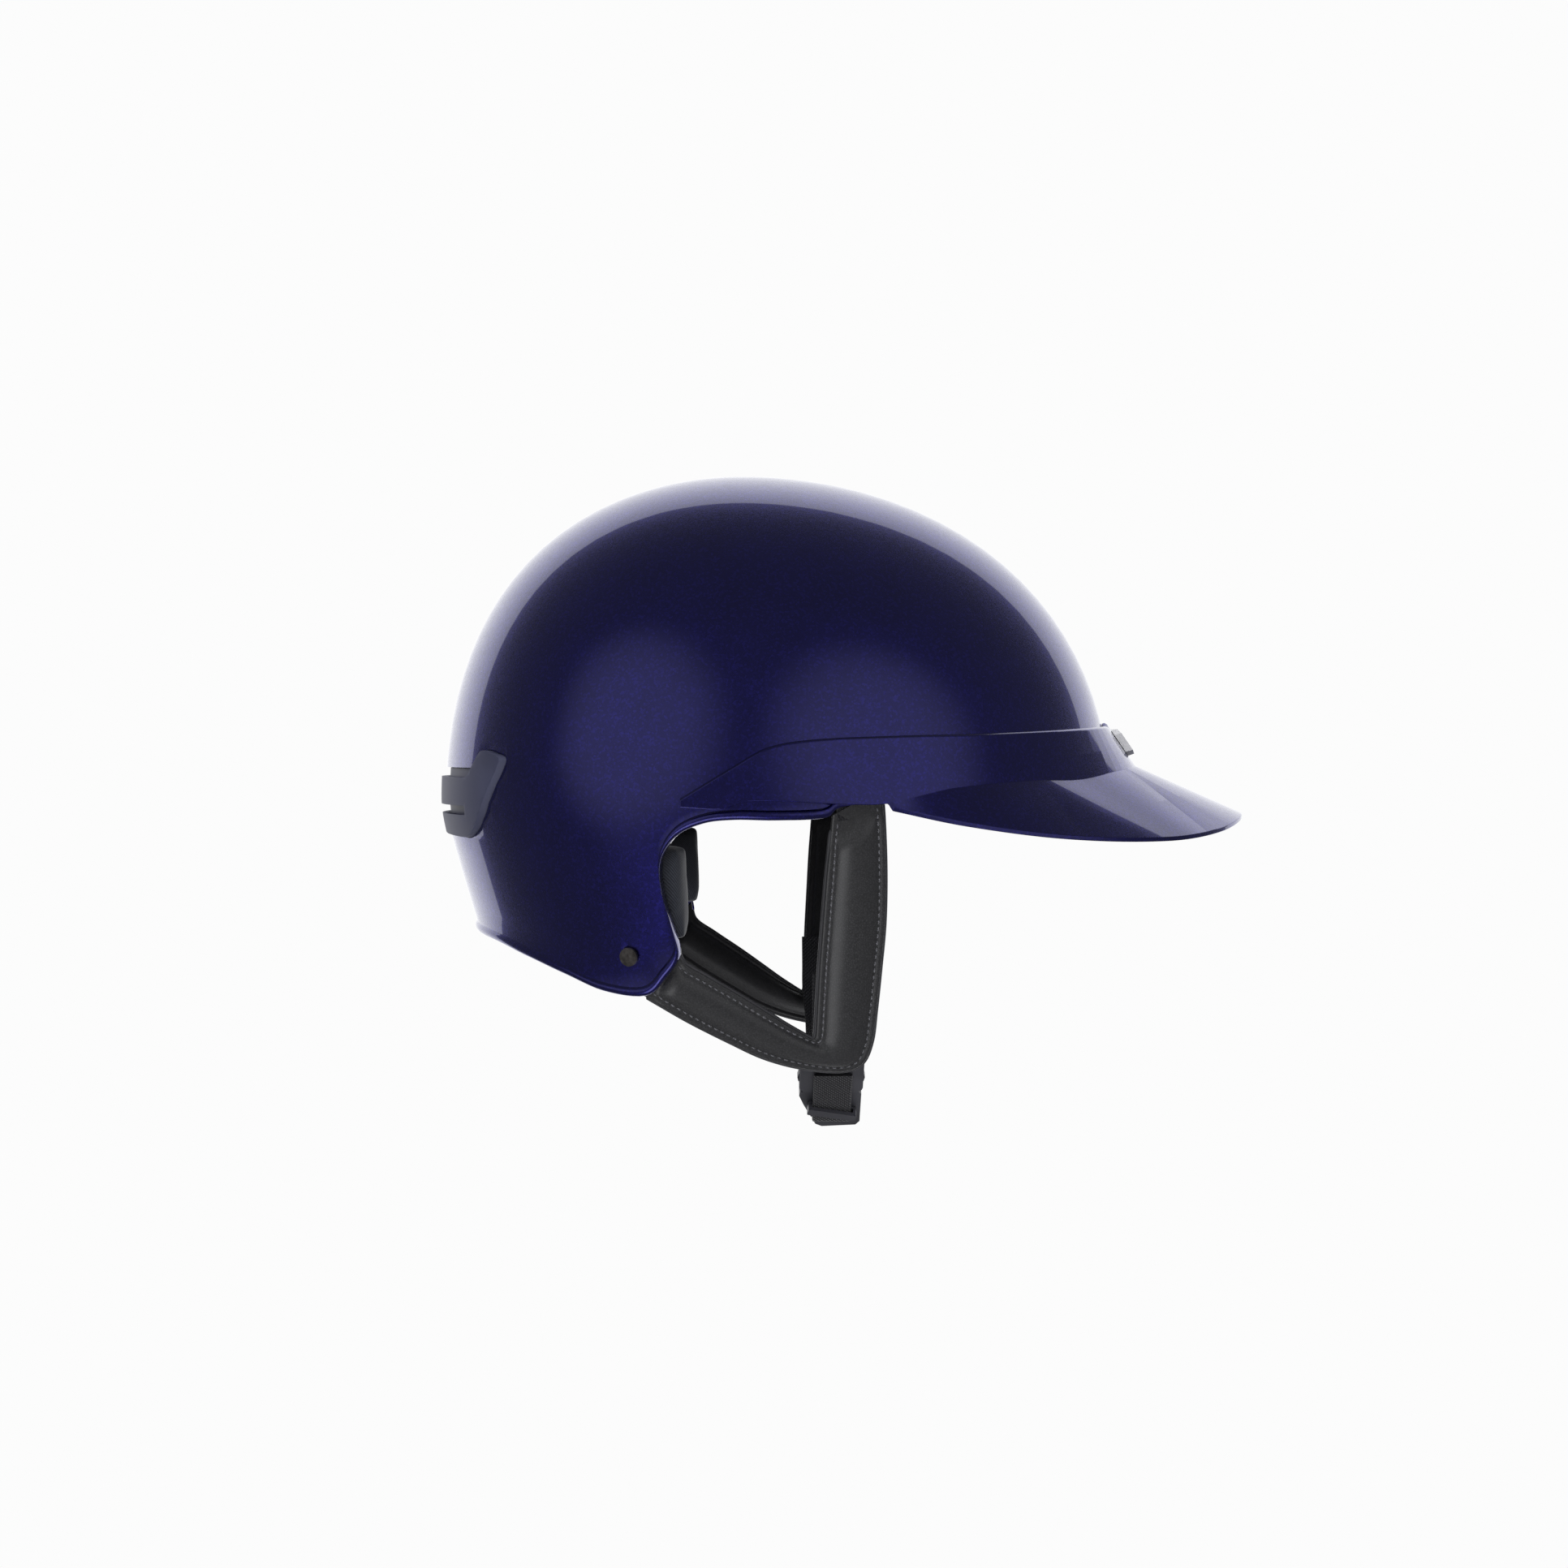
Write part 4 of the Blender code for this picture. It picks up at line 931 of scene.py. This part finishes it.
def peak_ring(turn, edge_x, side):
    """A section through the peak: band outside, brim top, edge, underside, band inside."""
    x = dome_face(turn, 0.0).x
    front_x = dome_face(0.0, 0.0).x
    top = between(BAND_TOP, x if x < front_x - 0.5 else 150)
    bottom = between(BAND_BOTTOM, x + flare(turn))
    angle = side * turn
    stand = BAND_GAP + BAND_WALL
    outside = [band_point(angle, top, BAND_GAP + 1.1), band_point(angle, top - 0.8, stand)]
    root = band_point(angle, bottom, stand + flare(turn))
    outside.append(outside[1].lerp(root, 0.5))
    inside = [band_point(angle, z, BAND_GAP) for z in (bottom - 0.4, (top + bottom) / 2.0, top)]
    thick = Vector((0.0, 0.0, BRIM_THICKNESS))
    if edge_x is None:
        return [*outside, root, root, root, *[root - thick * 0.4] * 3, *inside]
    tip = brim_edge_point(edge_x)
    tip = Vector((tip.x, side * tip.y, tip.z))
    ridge = root.lerp(tip, 0.5)
    return [*outside, root, ridge, tip, tip - thick * 0.8, ridge - thick, root - thick, *inside]


def make_peak():
    """The push-on peak with its band, faceted brim and side tabs, and the blank badge plate."""
    stations = peak_stations()
    rings = [peak_ring(turn, edge_x, -1.0) for turn, edge_x in reversed(stations)]
    rings += [peak_ring(turn, edge_x, 1.0) for turn, edge_x in stations[1:]]
    peak = skin("faceted_peak", rings, fold_deg=4.0)
    soften(peak, bpy.context.scene.helmet_sizes.peak_bevel, 2, 4.0)
    settle(peak, 4.0)
    finish_piece(peak, material_of("paint"))
    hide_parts("peak")
    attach(peak, "peak")
    dress_node("front_badge", material_of("plate"), 0.5)


# Chin harness.

def mirrored(point, side):
    """A point given on the right side, on the side asked for (-1 right, 1 left)."""
    return Vector((point[0], -side * point[1], point[2]))


def harness_point(x, z):
    """A point on the harness's middle plane, on the right side."""
    share = (x - HINGE_REAR[0]) / (HINGE_FRONT[0] - HINGE_REAR[0])
    hinge_z = HINGE_REAR[2] + (HINGE_FRONT[2] - HINGE_REAR[2]) * share
    hinge_y = HINGE_REAR[1] + (HINGE_FRONT[1] - HINGE_REAR[1]) * share
    return Vector((x, hinge_y + HARNESS_LEAN * (hinge_z - z), z))


def harness_normal():
    """The outward normal of the right harness's plane."""
    across = harness_point(1.0, -60.0) - harness_point(0.0, -60.0)
    down = harness_point(0.0, -61.0) - harness_point(0.0, -60.0)
    normal = across.cross(down).normalized()
    return normal if normal.y < 0.0 else -normal


def strap_sections(side):
    """Sections along a V pad as (outer edge, inner edge, fullness from 0 in the shell to 1)."""
    flat = [(*outer, *inner, float(index)) for index, (outer, inner) in
            enumerate(STRAP_STATIONS)]
    last = len(STRAP_STATIONS) - 1
    sections = []
    for outer_x, outer_z, inner_x, inner_z, place in smooth_path(flat, 12):
        share = min(max((min(place, last - place) - 0.5) / 0.8, 0.0), 1.0)
        fullness = share * share * (3.0 - 2.0 * share)
        sections.append((mirrored(harness_point(outer_x, outer_z), side),
                         mirrored(harness_point(inner_x, inner_z), side), fullness))
    return sections


def pad_thickness(inset, width, fullness):
    """Thickness of the V pad at a distance in from its edge: flange, stitched valley, crown."""
    seam = bpy.context.scene.helmet_sizes.stitch_inset
    edge = min(inset / EDGE_ROUNDING, 1.0)
    rim = STRAP_FLANGE * math.sqrt(max(1.0 - (1.0 - edge) ** 2, 0.0))
    risen = min(max(inset - seam, 0.0) / (width / 2.0 - seam), 1.0)
    crown = (1.0 - (1.0 - risen) ** CROWN_POWER) * (STRAP_THICKNESS - STRAP_FLANGE + CROWN_EXTRA)
    valley = VALLEY_DEPTH * math.exp(-((inset - seam) / VALLEY_WIDTH) ** 2)
    full = rim + crown - valley
    return max(TONGUE_THICKNESS * min(edge + 0.25, 1.0), full * fullness)


def strap_face(section, inset, from_outer, normal, face):
    """A point of a pad's face at a distance in from one of its edges."""
    outer, inner, fullness = section
    width = (inner - outer).length
    start, end = (outer, inner) if from_outer else (inner, outer)
    flat = start.lerp(end, inset / width)
    return flat + normal * face * pad_thickness(min(inset, width - inset), width, fullness) / 2.0


def make_strap_pad(label, side):
    """The leather V pad: one leg from the brow, one from behind the ear, joined under the jaw."""
    normal = mirrored(harness_normal(), side)
    insets = (0.0, 0.25, 0.7, 1.4, 2.0, 2.5, 2.9, 3.4, 4.2, 5.4)
    rings = []
    for section in strap_sections(side):
        width = (section[1] - section[0]).length
        middle = [width / 2.0 * share for share in (0.68, 0.84)]
        half = [inset for inset in insets if inset < width * 0.32] + middle
        half += [half[-1]] * (len(insets) + 2 - len(half))
        across = half + [width / 2.0] + [width - inset for inset in reversed(half)]
        ring = [strap_face(section, inset, True, normal, 1.0) for inset in across]
        ring += [strap_face(section, inset, True, normal, -1.0) for inset in reversed(across)]
        rings.append(ring)
    pad = skin("leather_pad_" + label, rings, fold_deg=70.0)
    finish_piece(pad, material_of("leather"))
    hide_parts("strap_pad_" + label)
    bend(pad, side)


def bend(piece, side):
    """Bake a piece's placement into its mesh; the hinge line and the way down from it are worked
    out, but nothing uses them.
    """
    front = mirrored(HINGE_FRONT, side)
    along = (mirrored(HINGE_REAR, side) - front).normalized()
    down = along.cross(mirrored(harness_normal(), side)).normalized()
    down = down if down.z < 0.0 else -down
    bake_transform(piece)


def even_places(line, pitch):
    """Evenly spaced points along a line, as (point, direction)."""
    places = []
    carry = 0.0
    for start, end in zip(line, line[1:]):
        length = (end - start).length
        while carry < length:
            places.append((start.lerp(end, carry / length), (end - start) / length))
            carry += pitch
        carry -= length
    return places


def stitch_row(name, places, normal, length, thickness):
    """A row of lock stitches; each one is a short bowed thread whose ends sink into the hide."""
    body = bmesh.new()
    profile = ((-0.5, 0.35, -0.5), (-0.34, 0.9, 0.1), (0.0, 1.0, 0.3), (0.34, 0.9, 0.1),
               (0.5, 0.35, -0.5))
    for point, along in places:
        across = along.cross(normal).normalized()
        rings = []
        for place, girth, lift in profile:
            centre = point + along * place * length + normal * lift * thickness
            rings.append([body.verts.new((centre + (across * math.cos(turn) + normal
                          * math.sin(turn)) * girth * thickness / 2.0) * MM)
                          for turn in (math.pi * corner / 3.0 for corner in range(6))])
        body.faces.new(rings[0])
        body.faces.new(rings[-1])
        for ring, following in zip(rings, rings[1:]):
            for corner in range(6):
                after = (corner + 1) % 6
                body.faces.new((ring[corner], ring[after], following[after],
                                following[corner]))
    bmesh.ops.recalc_face_normals(body, faces=body.faces)
    return add_object(name, body, 80.0)


def make_strap_trim(label, side):
    """Stitching on the V pad's outer face, inside both edges, and vinyl piping round them."""
    sizes = bpy.context.scene.helmet_sizes
    normal = mirrored(harness_normal(), side)
    sections = strap_sections(side)[TRIM_SKIP:-TRIM_SKIP]
    for from_outer, edge in ((True, "outer"), (False, "inner")):
        line = [strap_face(section, sizes.stitch_inset, from_outer, normal, 1.0)
                for section in sections]
        row = stitch_row(f"stitches_{edge}_{label}", even_places(line, sizes.stitch_pitch),
                         normal, sizes.stitch_pitch * 0.72, sizes.stitch_thread)
        finish_piece(row, material_of("thread"))
        bend(row, side)
        border = [section[0 if from_outer else 1] for section in sections]
        cord = tube(f"piping_{edge}_{label}", border, sizes.piping_radius, 10)
        finish_piece(cord, material_of("piping"))
        bend(cord, side)


def ribbon(name, path, width, across):
    """Webbing along a path with rounded selvedges, mapped in metres along and across."""
    rows = []
    half = width / 2.0
    section = [(-half + 0.3, 0.5), (-half * 0.5, 0.5), (0.0, 0.5), (half * 0.5, 0.5),
               (half - 0.3, 0.5), (half, 0.0)]
    section += [(-x, -y) for x, y in section]
    body = bmesh.new()
    walked = 0.0
    distances = []
    for index, here in enumerate(path):
        before, after = path[max(index - 1, 0)], path[min(index + 1, len(path) - 1)]
        out = (after - before).normalized().cross(across).normalized()
        walked += (here - path[max(index - 1, 0)]).length
        distances.append(walked * MM)
        rows.append([body.verts.new((here + across * x + out * y * WEBBING) * MM)
                     for x, y in section])
    layer = body.loops.layers.uv.new("weave")
    count = len(section)
    for index in range(len(rows) - 1):
        for place in range(count):
            after = (place + 1) % count
            corners = ((index, place), (index, after), (index + 1, after), (index + 1, place))
            face = body.faces.new([rows[row][column] for row, column in corners])
            for loop, (row, column) in zip(face.loops, corners):
                loop[layer].uv = (section[column][0] * MM, distances[row])
    body.faces.new(rows[0])
    body.faces.new(rows[-1])
    bmesh.ops.recalc_face_normals(body, faces=body.faces)
    return add_object(name, body, 50.0)


def buckle_frame():
    """The buckle's frame in metres: x forward, y along the plug's way out, z to the chin."""
    tilt = math.radians(BUCKLE_TILT_DEG)
    out = (0.0, math.cos(tilt), -math.sin(tilt))
    chin = (0.0, math.sin(tilt), math.cos(tilt))
    turn = Matrix(((1.0, out[0], chin[0], 0.0), (0.0, out[1], chin[1], 0.0),
                   (0.0, out[2], chin[2], 0.0), (0.0, 0.0, 0.0, 1.0)))
    return Matrix.Translation(Vector(BUCKLE_AT) * MM) @ turn


def buckle_point(along, depth):
    """A point on the buckle's middle line, in millimetres in the helmet's frame."""
    local = Vector((WEBBING_X - BUCKLE_AT[0], along, depth)) * MM
    return (buckle_frame() @ local) / MM


def webbing_start(side):
    """Where the webbing runs down the inner face of a strap pad."""
    normal = mirrored(harness_normal(), side)
    stand = STRAP_THICKNESS / 2.0 + WEBBING / 2.0 + WEBBING_STAND
    return [mirrored(harness_point(WEBBING_X, z), side) - normal * stand for z in (-72, -84, -94)]


def make_webbing():
    """The two webbing straps: a short one to the socket and a long one that ends in a tail."""
    right = webbing_start(-1)
    right += [buckle_point(along, depth) for along, depth in
              ((-25.6, 0.6), (-23.9, 3.6), (-21.4, 5.2), (-18.9, 4.6), (-17.8, 2.4), (-17.8, -1.5))]
    left = webbing_start(1)
    left += [Vector((WEBBING_X, y, z)) for y, z in
             ((64, -105), (52, -114), (36, -122), (18, -127.6), (0, -130.4), (-14, -130.8))]
    left += [buckle_point(along, depth) for along, depth in
             ((23.4, 5.6), (20.6, 4.8), (19.2, 2.6), (18.9, 0.0), (18.7, -2.6), (17.6, -4.8),
              (15.4, TAIL_DEPTH), (6.0, TAIL_DEPTH), (-4.0, TAIL_DEPTH), (-14.0, TAIL_DEPTH))]
    for path, label in ((right, "right"), (left, "left")):
        fine = [Vector(point) for point in smooth_path(path, 6)]
        strap = ribbon("twill_strap_" + label, fine, WEBBING_WIDTH, Vector((1.0, 0.0, 0.0)))
        finish_piece(strap, material_of("webbing"))
        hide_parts("webbing_" + label)
        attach(strap, "strap_" + label)
    for _, label in SIDES:
        for end in ("front", "rear"):
            dress_node(f"strap_anchor_{end}_{label}", material_of("anchor"), 0.25)


def make_straps():
    """Both padded V straps with their stitching and piping."""
    for side, label in SIDES:
        make_strap_pad(label, side)
        make_strap_trim(label, side)


def make_hardware():
    """Buckle, keeper, rivets and washers."""
    for node in ("buckle_socket", "buckle_plug"):
        dress_node(node, material_of("acetal"), 0.7)
    for node in ("buckle_prong_front", "buckle_prong_rear", "strap_keeper"):
        dress_node(node, material_of("acetal"), 0.3)
    for _, label in SIDES:
        for end in ("front", "rear"):
            dress_node(f"{end}_rivet_{label}", material_of("steel"), 0.45)
            dress_node(f"{end}_washer_{label}", material_of("steel"), 0.25)


# Studio.

CAMERA_DISTANCE = 0.9
CAMERA_AZIMUTH_DEG = -1.0
CAMERA_ELEVATION_DEG = 1.0
LENS_MM = 50.0
SENSOR_MM = 36.0
FLOOR_Z = -0.62
FLOOR_SIZE = 60.0
SURROUND_WHITE = (*linear("#fcfcfc"), 1.0)
LIT_COLOUR = (0.97, 0.975, 1.0, 1.0)
AMBIENT = 0.14

# Fill lamps as (name, place in metres, power in watts, size in metres).
FILL_LAMPS = (
    ("fill_left", (-0.9, -1.6, 0.9), 26.0, 1.3), ("fill_right", (1.2, -1.3, 0.5), 15.0, 1.1),
    ("fill_top", (0.0, 0.2, 1.9), 18.0, 1.4), ("bounce", (0.3, -0.2, -1.5), 22.0, 1.6),
)

# What reflections see, as (direction, cosine where it starts, cosine where it is full, level):
# the white surround behind the helmet, two soft boxes and a lower one for the harness.
WHITE_EDGE = math.cos(math.radians(57.0))
GLOWS = (
    ((0.0, 1.0, 0.02), WHITE_EDGE, WHITE_EDGE + 0.02, 0.95),
    ((-0.62, -0.74, 0.28), 0.80, 1.0, 0.35),
    ((0.55, -0.80, 0.22), 0.80, 1.0, 0.35),
    ((-0.28, -0.74, -0.62), 0.92, 1.0, 1.7),
)


def make_studio():
    """Camera, surround, fill lamps and pale floor."""
    scene = bpy.context.scene
    azimuth = math.radians(CAMERA_AZIMUTH_DEG)
    elevation = math.radians(CAMERA_ELEVATION_DEG)
    place = Vector((math.sin(azimuth) * math.cos(elevation), -math.cos(azimuth)
                    * math.cos(elevation), math.sin(elevation))) * CAMERA_DISTANCE
    camera = bpy.data.objects.new("camera", bpy.data.cameras.new("camera"))
    camera.data.lens = LENS_MM
    camera.data.sensor_width = SENSOR_MM
    camera.location = place
    camera.rotation_euler = (-place).to_track_quat("-Z", "Y").to_euler()
    scene.collection.objects.link(camera)
    scene.camera = camera
    scene.view_settings.view_transform = "Standard"
    surround()
    for name, spot, power, size in FILL_LAMPS:
        lamp = bpy.data.lights.new(name, "AREA")
        lamp.energy = power
        lamp.size = size
        holder = bpy.data.objects.new(name, lamp)
        holder.location = spot
        holder.rotation_euler = (-Vector(spot)).to_track_quat("-Z", "Y").to_euler()
        holder.visible_glossy = False
        holder.visible_camera = False
        scene.collection.objects.link(holder)
    bpy.ops.mesh.primitive_plane_add(size=FLOOR_SIZE, location=(0.0, 0.0, FLOOR_Z))
    floor = bpy.context.object
    floor.name = "floor"
    floor.visible_glossy = False
    floor.visible_diffuse = False
    floor.visible_shadow = False
    made = new_material("pale_floor", {
        "Base Color": (0.0, 0.0, 0.0, 1.0), "Roughness": 1.0, "Specular IOR Level": 0.0,
        "Emission Color": SURROUND_WHITE, "Emission Strength": 1.0})[0]
    floor.data.materials.append(made)


def surround():
    """A white surround for the camera; reflections see the glows over a dim ambient light."""
    world = bpy.data.worlds.new("studio")
    world.use_nodes = True
    bpy.context.scene.world = world
    tree = world.node_tree
    tree.nodes.clear()
    direction = add(tree, "TexCoord").outputs["Generated"]
    total = AMBIENT
    for aim, low, high, level in GLOWS:
        facing = add(tree, "VectorMath", {0: direction, 1: Vector(aim).normalized()},
                     operation="DOT_PRODUCT")
        glow = add(tree, "MapRange", {"Value": facing.outputs["Value"], "From Min": low,
                                      "From Max": high, "To Min": 0.0, "To Max": level},
                   interpolation_type="SMOOTHERSTEP")
        total = add(tree, "Math", {0: glow.outputs["Result"], 1: total},
                    operation="ADD").outputs["Value"]
    seen = add(tree, "LightPath").outputs["Is Camera Ray"]
    lit = add(tree, "Background", {"Color": LIT_COLOUR, "Strength": total})
    plain = add(tree, "Background", {"Color": SURROUND_WHITE, "Strength": 1.0})
    mixed = add(tree, "MixShader", {0: seen, 1: lit.outputs["Background"],
                                    2: plain.outputs["Background"]})
    add(tree, "OutputWorld", {"Surface": mixed.outputs["Shader"]})


# Settings, operators and panel.

def length(label, note, default):
    """A size in millimetres as a property."""
    return bpy.props.FloatProperty(name=label, description=note, default=default, min=0.01,
                                   unit="NONE", subtype="NONE")


def shade(label, note, code):
    """A colour as a property."""
    return bpy.props.FloatVectorProperty(name=label, description=note, default=linear(code),
                                         size=3, min=0.0, max=1.0, subtype="COLOR")


class HelmetSizes(bpy.types.PropertyGroup):
    bead: length("Rim bead", "How proud the rolled rim stands, mm", 1.4)
    peak_bevel: length("Peak edge", "Rounding of the peak's creases, mm", 0.45)
    flake: length("Paint flake", "Size of the drawn metal flakes, mm", 0.75)
    foam_bead: length("Foam bead", "Size of the liner's foam beads, mm", 3.0)
    knit_wale: length("Knit wale", "Spacing of the knit's wales, mm", 1.1)
    leather_grain: length("Leather grain", "Size of the leather's pebbles, mm", 0.9)
    stitch_inset: length("Stitch inset", "Distance of stitches from the edge, mm", 2.7)
    stitch_pitch: length("Stitch pitch", "Spacing of the stitches, mm", 2.8)
    stitch_thread: length("Thread", "Thickness of the sewing thread, mm", 0.75)
    piping_radius: length("Piping", "Radius of the edge piping, mm", 0.75)
    webbing_thread: length("Webbing thread", "Width of the drawn webbing threads, mm", 0.8)
    fold_above: length("Fold above", "Where the strap's fold starts above the hinge, mm", 5.0)
    fold_below: length("Fold below", "Where the strap's fold ends below the hinge, mm", 14.0)


class HelmetColours(bpy.types.PropertyGroup):
    paint: shade("Paint", "Metal flake under the clear coat", "#26237c")
    vent: shade("Vent", "Moulded rear vent", "#3b3d52")
    foam: shade("Foam", "Impact liner", "#2b2b2d")
    knit: shade("Knit", "Crown and brow pads", "#222226")
    ear_knit: shade("Ear knit", "Nape and ear pads", "#2a2c32")
    leather: shade("Leather", "Chin harness pads", "#232325")
    thread: shade("Thread", "Harness stitching", "#58585d")
    piping: shade("Piping", "Harness edge piping", "#2b2b2e")
    webbing: shade("Webbing", "Harness webbing", "#1e1e21")
    acetal: shade("Buckle", "Buckle and keeper", "#2c2c31")
    steel: shade("Steel", "Rivets and washers", "#4b4846")
    plate: shade("Badge plate", "Blank plate on the peak's band", "#d4d4d8")


class HELMET_OT_studio(bpy.types.Operator):
    """Set up the camera, the lights and the pale floor"""
    bl_idname = "helmet.studio"
    bl_label = "Studio"

    def execute(self, context):
        make_studio()
        return {"FINISHED"}


class HELMET_OT_shell(bpy.types.Operator):
    """Build the painted shell"""
    bl_idname = "helmet.shell"
    bl_label = "Shell"

    def execute(self, context):
        make_shell()
        return {"FINISHED"}


class HELMET_OT_vent(bpy.types.Operator):
    """Build the louvred rear vent"""
    bl_idname = "helmet.vent"
    bl_label = "Rear Vent"

    def execute(self, context):
        make_vent()
        return {"FINISHED"}


class HELMET_OT_liner(bpy.types.Operator):
    """Build the foam liner"""
    bl_idname = "helmet.liner"
    bl_label = "Liner"

    def execute(self, context):
        make_liner()
        return {"FINISHED"}


class HELMET_OT_pads(bpy.types.Operator):
    """Build the comfort pads"""
    bl_idname = "helmet.pads"
    bl_label = "Comfort Pads"

    def execute(self, context):
        make_pads()
        return {"FINISHED"}


class HELMET_OT_peak(bpy.types.Operator):
    """Build the peak and finish its badge plate"""
    bl_idname = "helmet.peak"
    bl_label = "Peak"

    def execute(self, context):
        make_peak()
        return {"FINISHED"}


class HELMET_OT_straps(bpy.types.Operator):
    """Build the padded V straps with stitching and piping"""
    bl_idname = "helmet.straps"
    bl_label = "Padded Straps"

    def execute(self, context):
        make_straps()
        return {"FINISHED"}


class HELMET_OT_webbing(bpy.types.Operator):
    """Build the webbing"""
    bl_idname = "helmet.webbing"
    bl_label = "Webbing"

    def execute(self, context):
        make_webbing()
        return {"FINISHED"}


class HELMET_OT_hardware(bpy.types.Operator):
    """Finish the buckle, the keeper and the rivets"""
    bl_idname = "helmet.hardware"
    bl_label = "Buckle and Rivets"

    def execute(self, context):
        make_hardware()
        return {"FINISHED"}


OPERATORS = (HELMET_OT_studio, HELMET_OT_shell, HELMET_OT_vent, HELMET_OT_liner,
             HELMET_OT_pads, HELMET_OT_peak, HELMET_OT_straps, HELMET_OT_webbing,
             HELMET_OT_hardware)


class HELMET_PT_pieces(bpy.types.Panel):
    """Sidebar panel with the helmet's settings and build steps"""
    bl_idname = "HELMET_PT_pieces"
    bl_label = "Riding Helmet"
    bl_space_type = "VIEW_3D"
    bl_region_type = "UI"
    bl_category = "Helmet"

    def draw(self, context):
        for group in (context.scene.helmet_sizes, context.scene.helmet_colours):
            column = self.layout.column()
            for name in group.__annotations__:
                column.prop(group, name)
        for operator in OPERATORS:
            self.layout.operator(operator.bl_idname)


CLASSES = (HelmetSizes, HelmetColours, *OPERATORS, HELMET_PT_pieces)


def register():
    for each in CLASSES:
        bpy.utils.register_class(each)
    bpy.types.Scene.helmet_sizes = bpy.props.PointerProperty(type=HelmetSizes)
    bpy.types.Scene.helmet_colours = bpy.props.PointerProperty(type=HelmetColours)


def unregister():
    del bpy.types.Scene.helmet_colours
    del bpy.types.Scene.helmet_sizes
    for each in reversed(CLASSES):
        bpy.utils.unregister_class(each)


def main():
    """Build every piece."""
    register()
    for operator in OPERATORS:
        getattr(bpy.ops.helmet, operator.bl_idname.split(".")[1])()


if __name__ == "__main__":
    main()
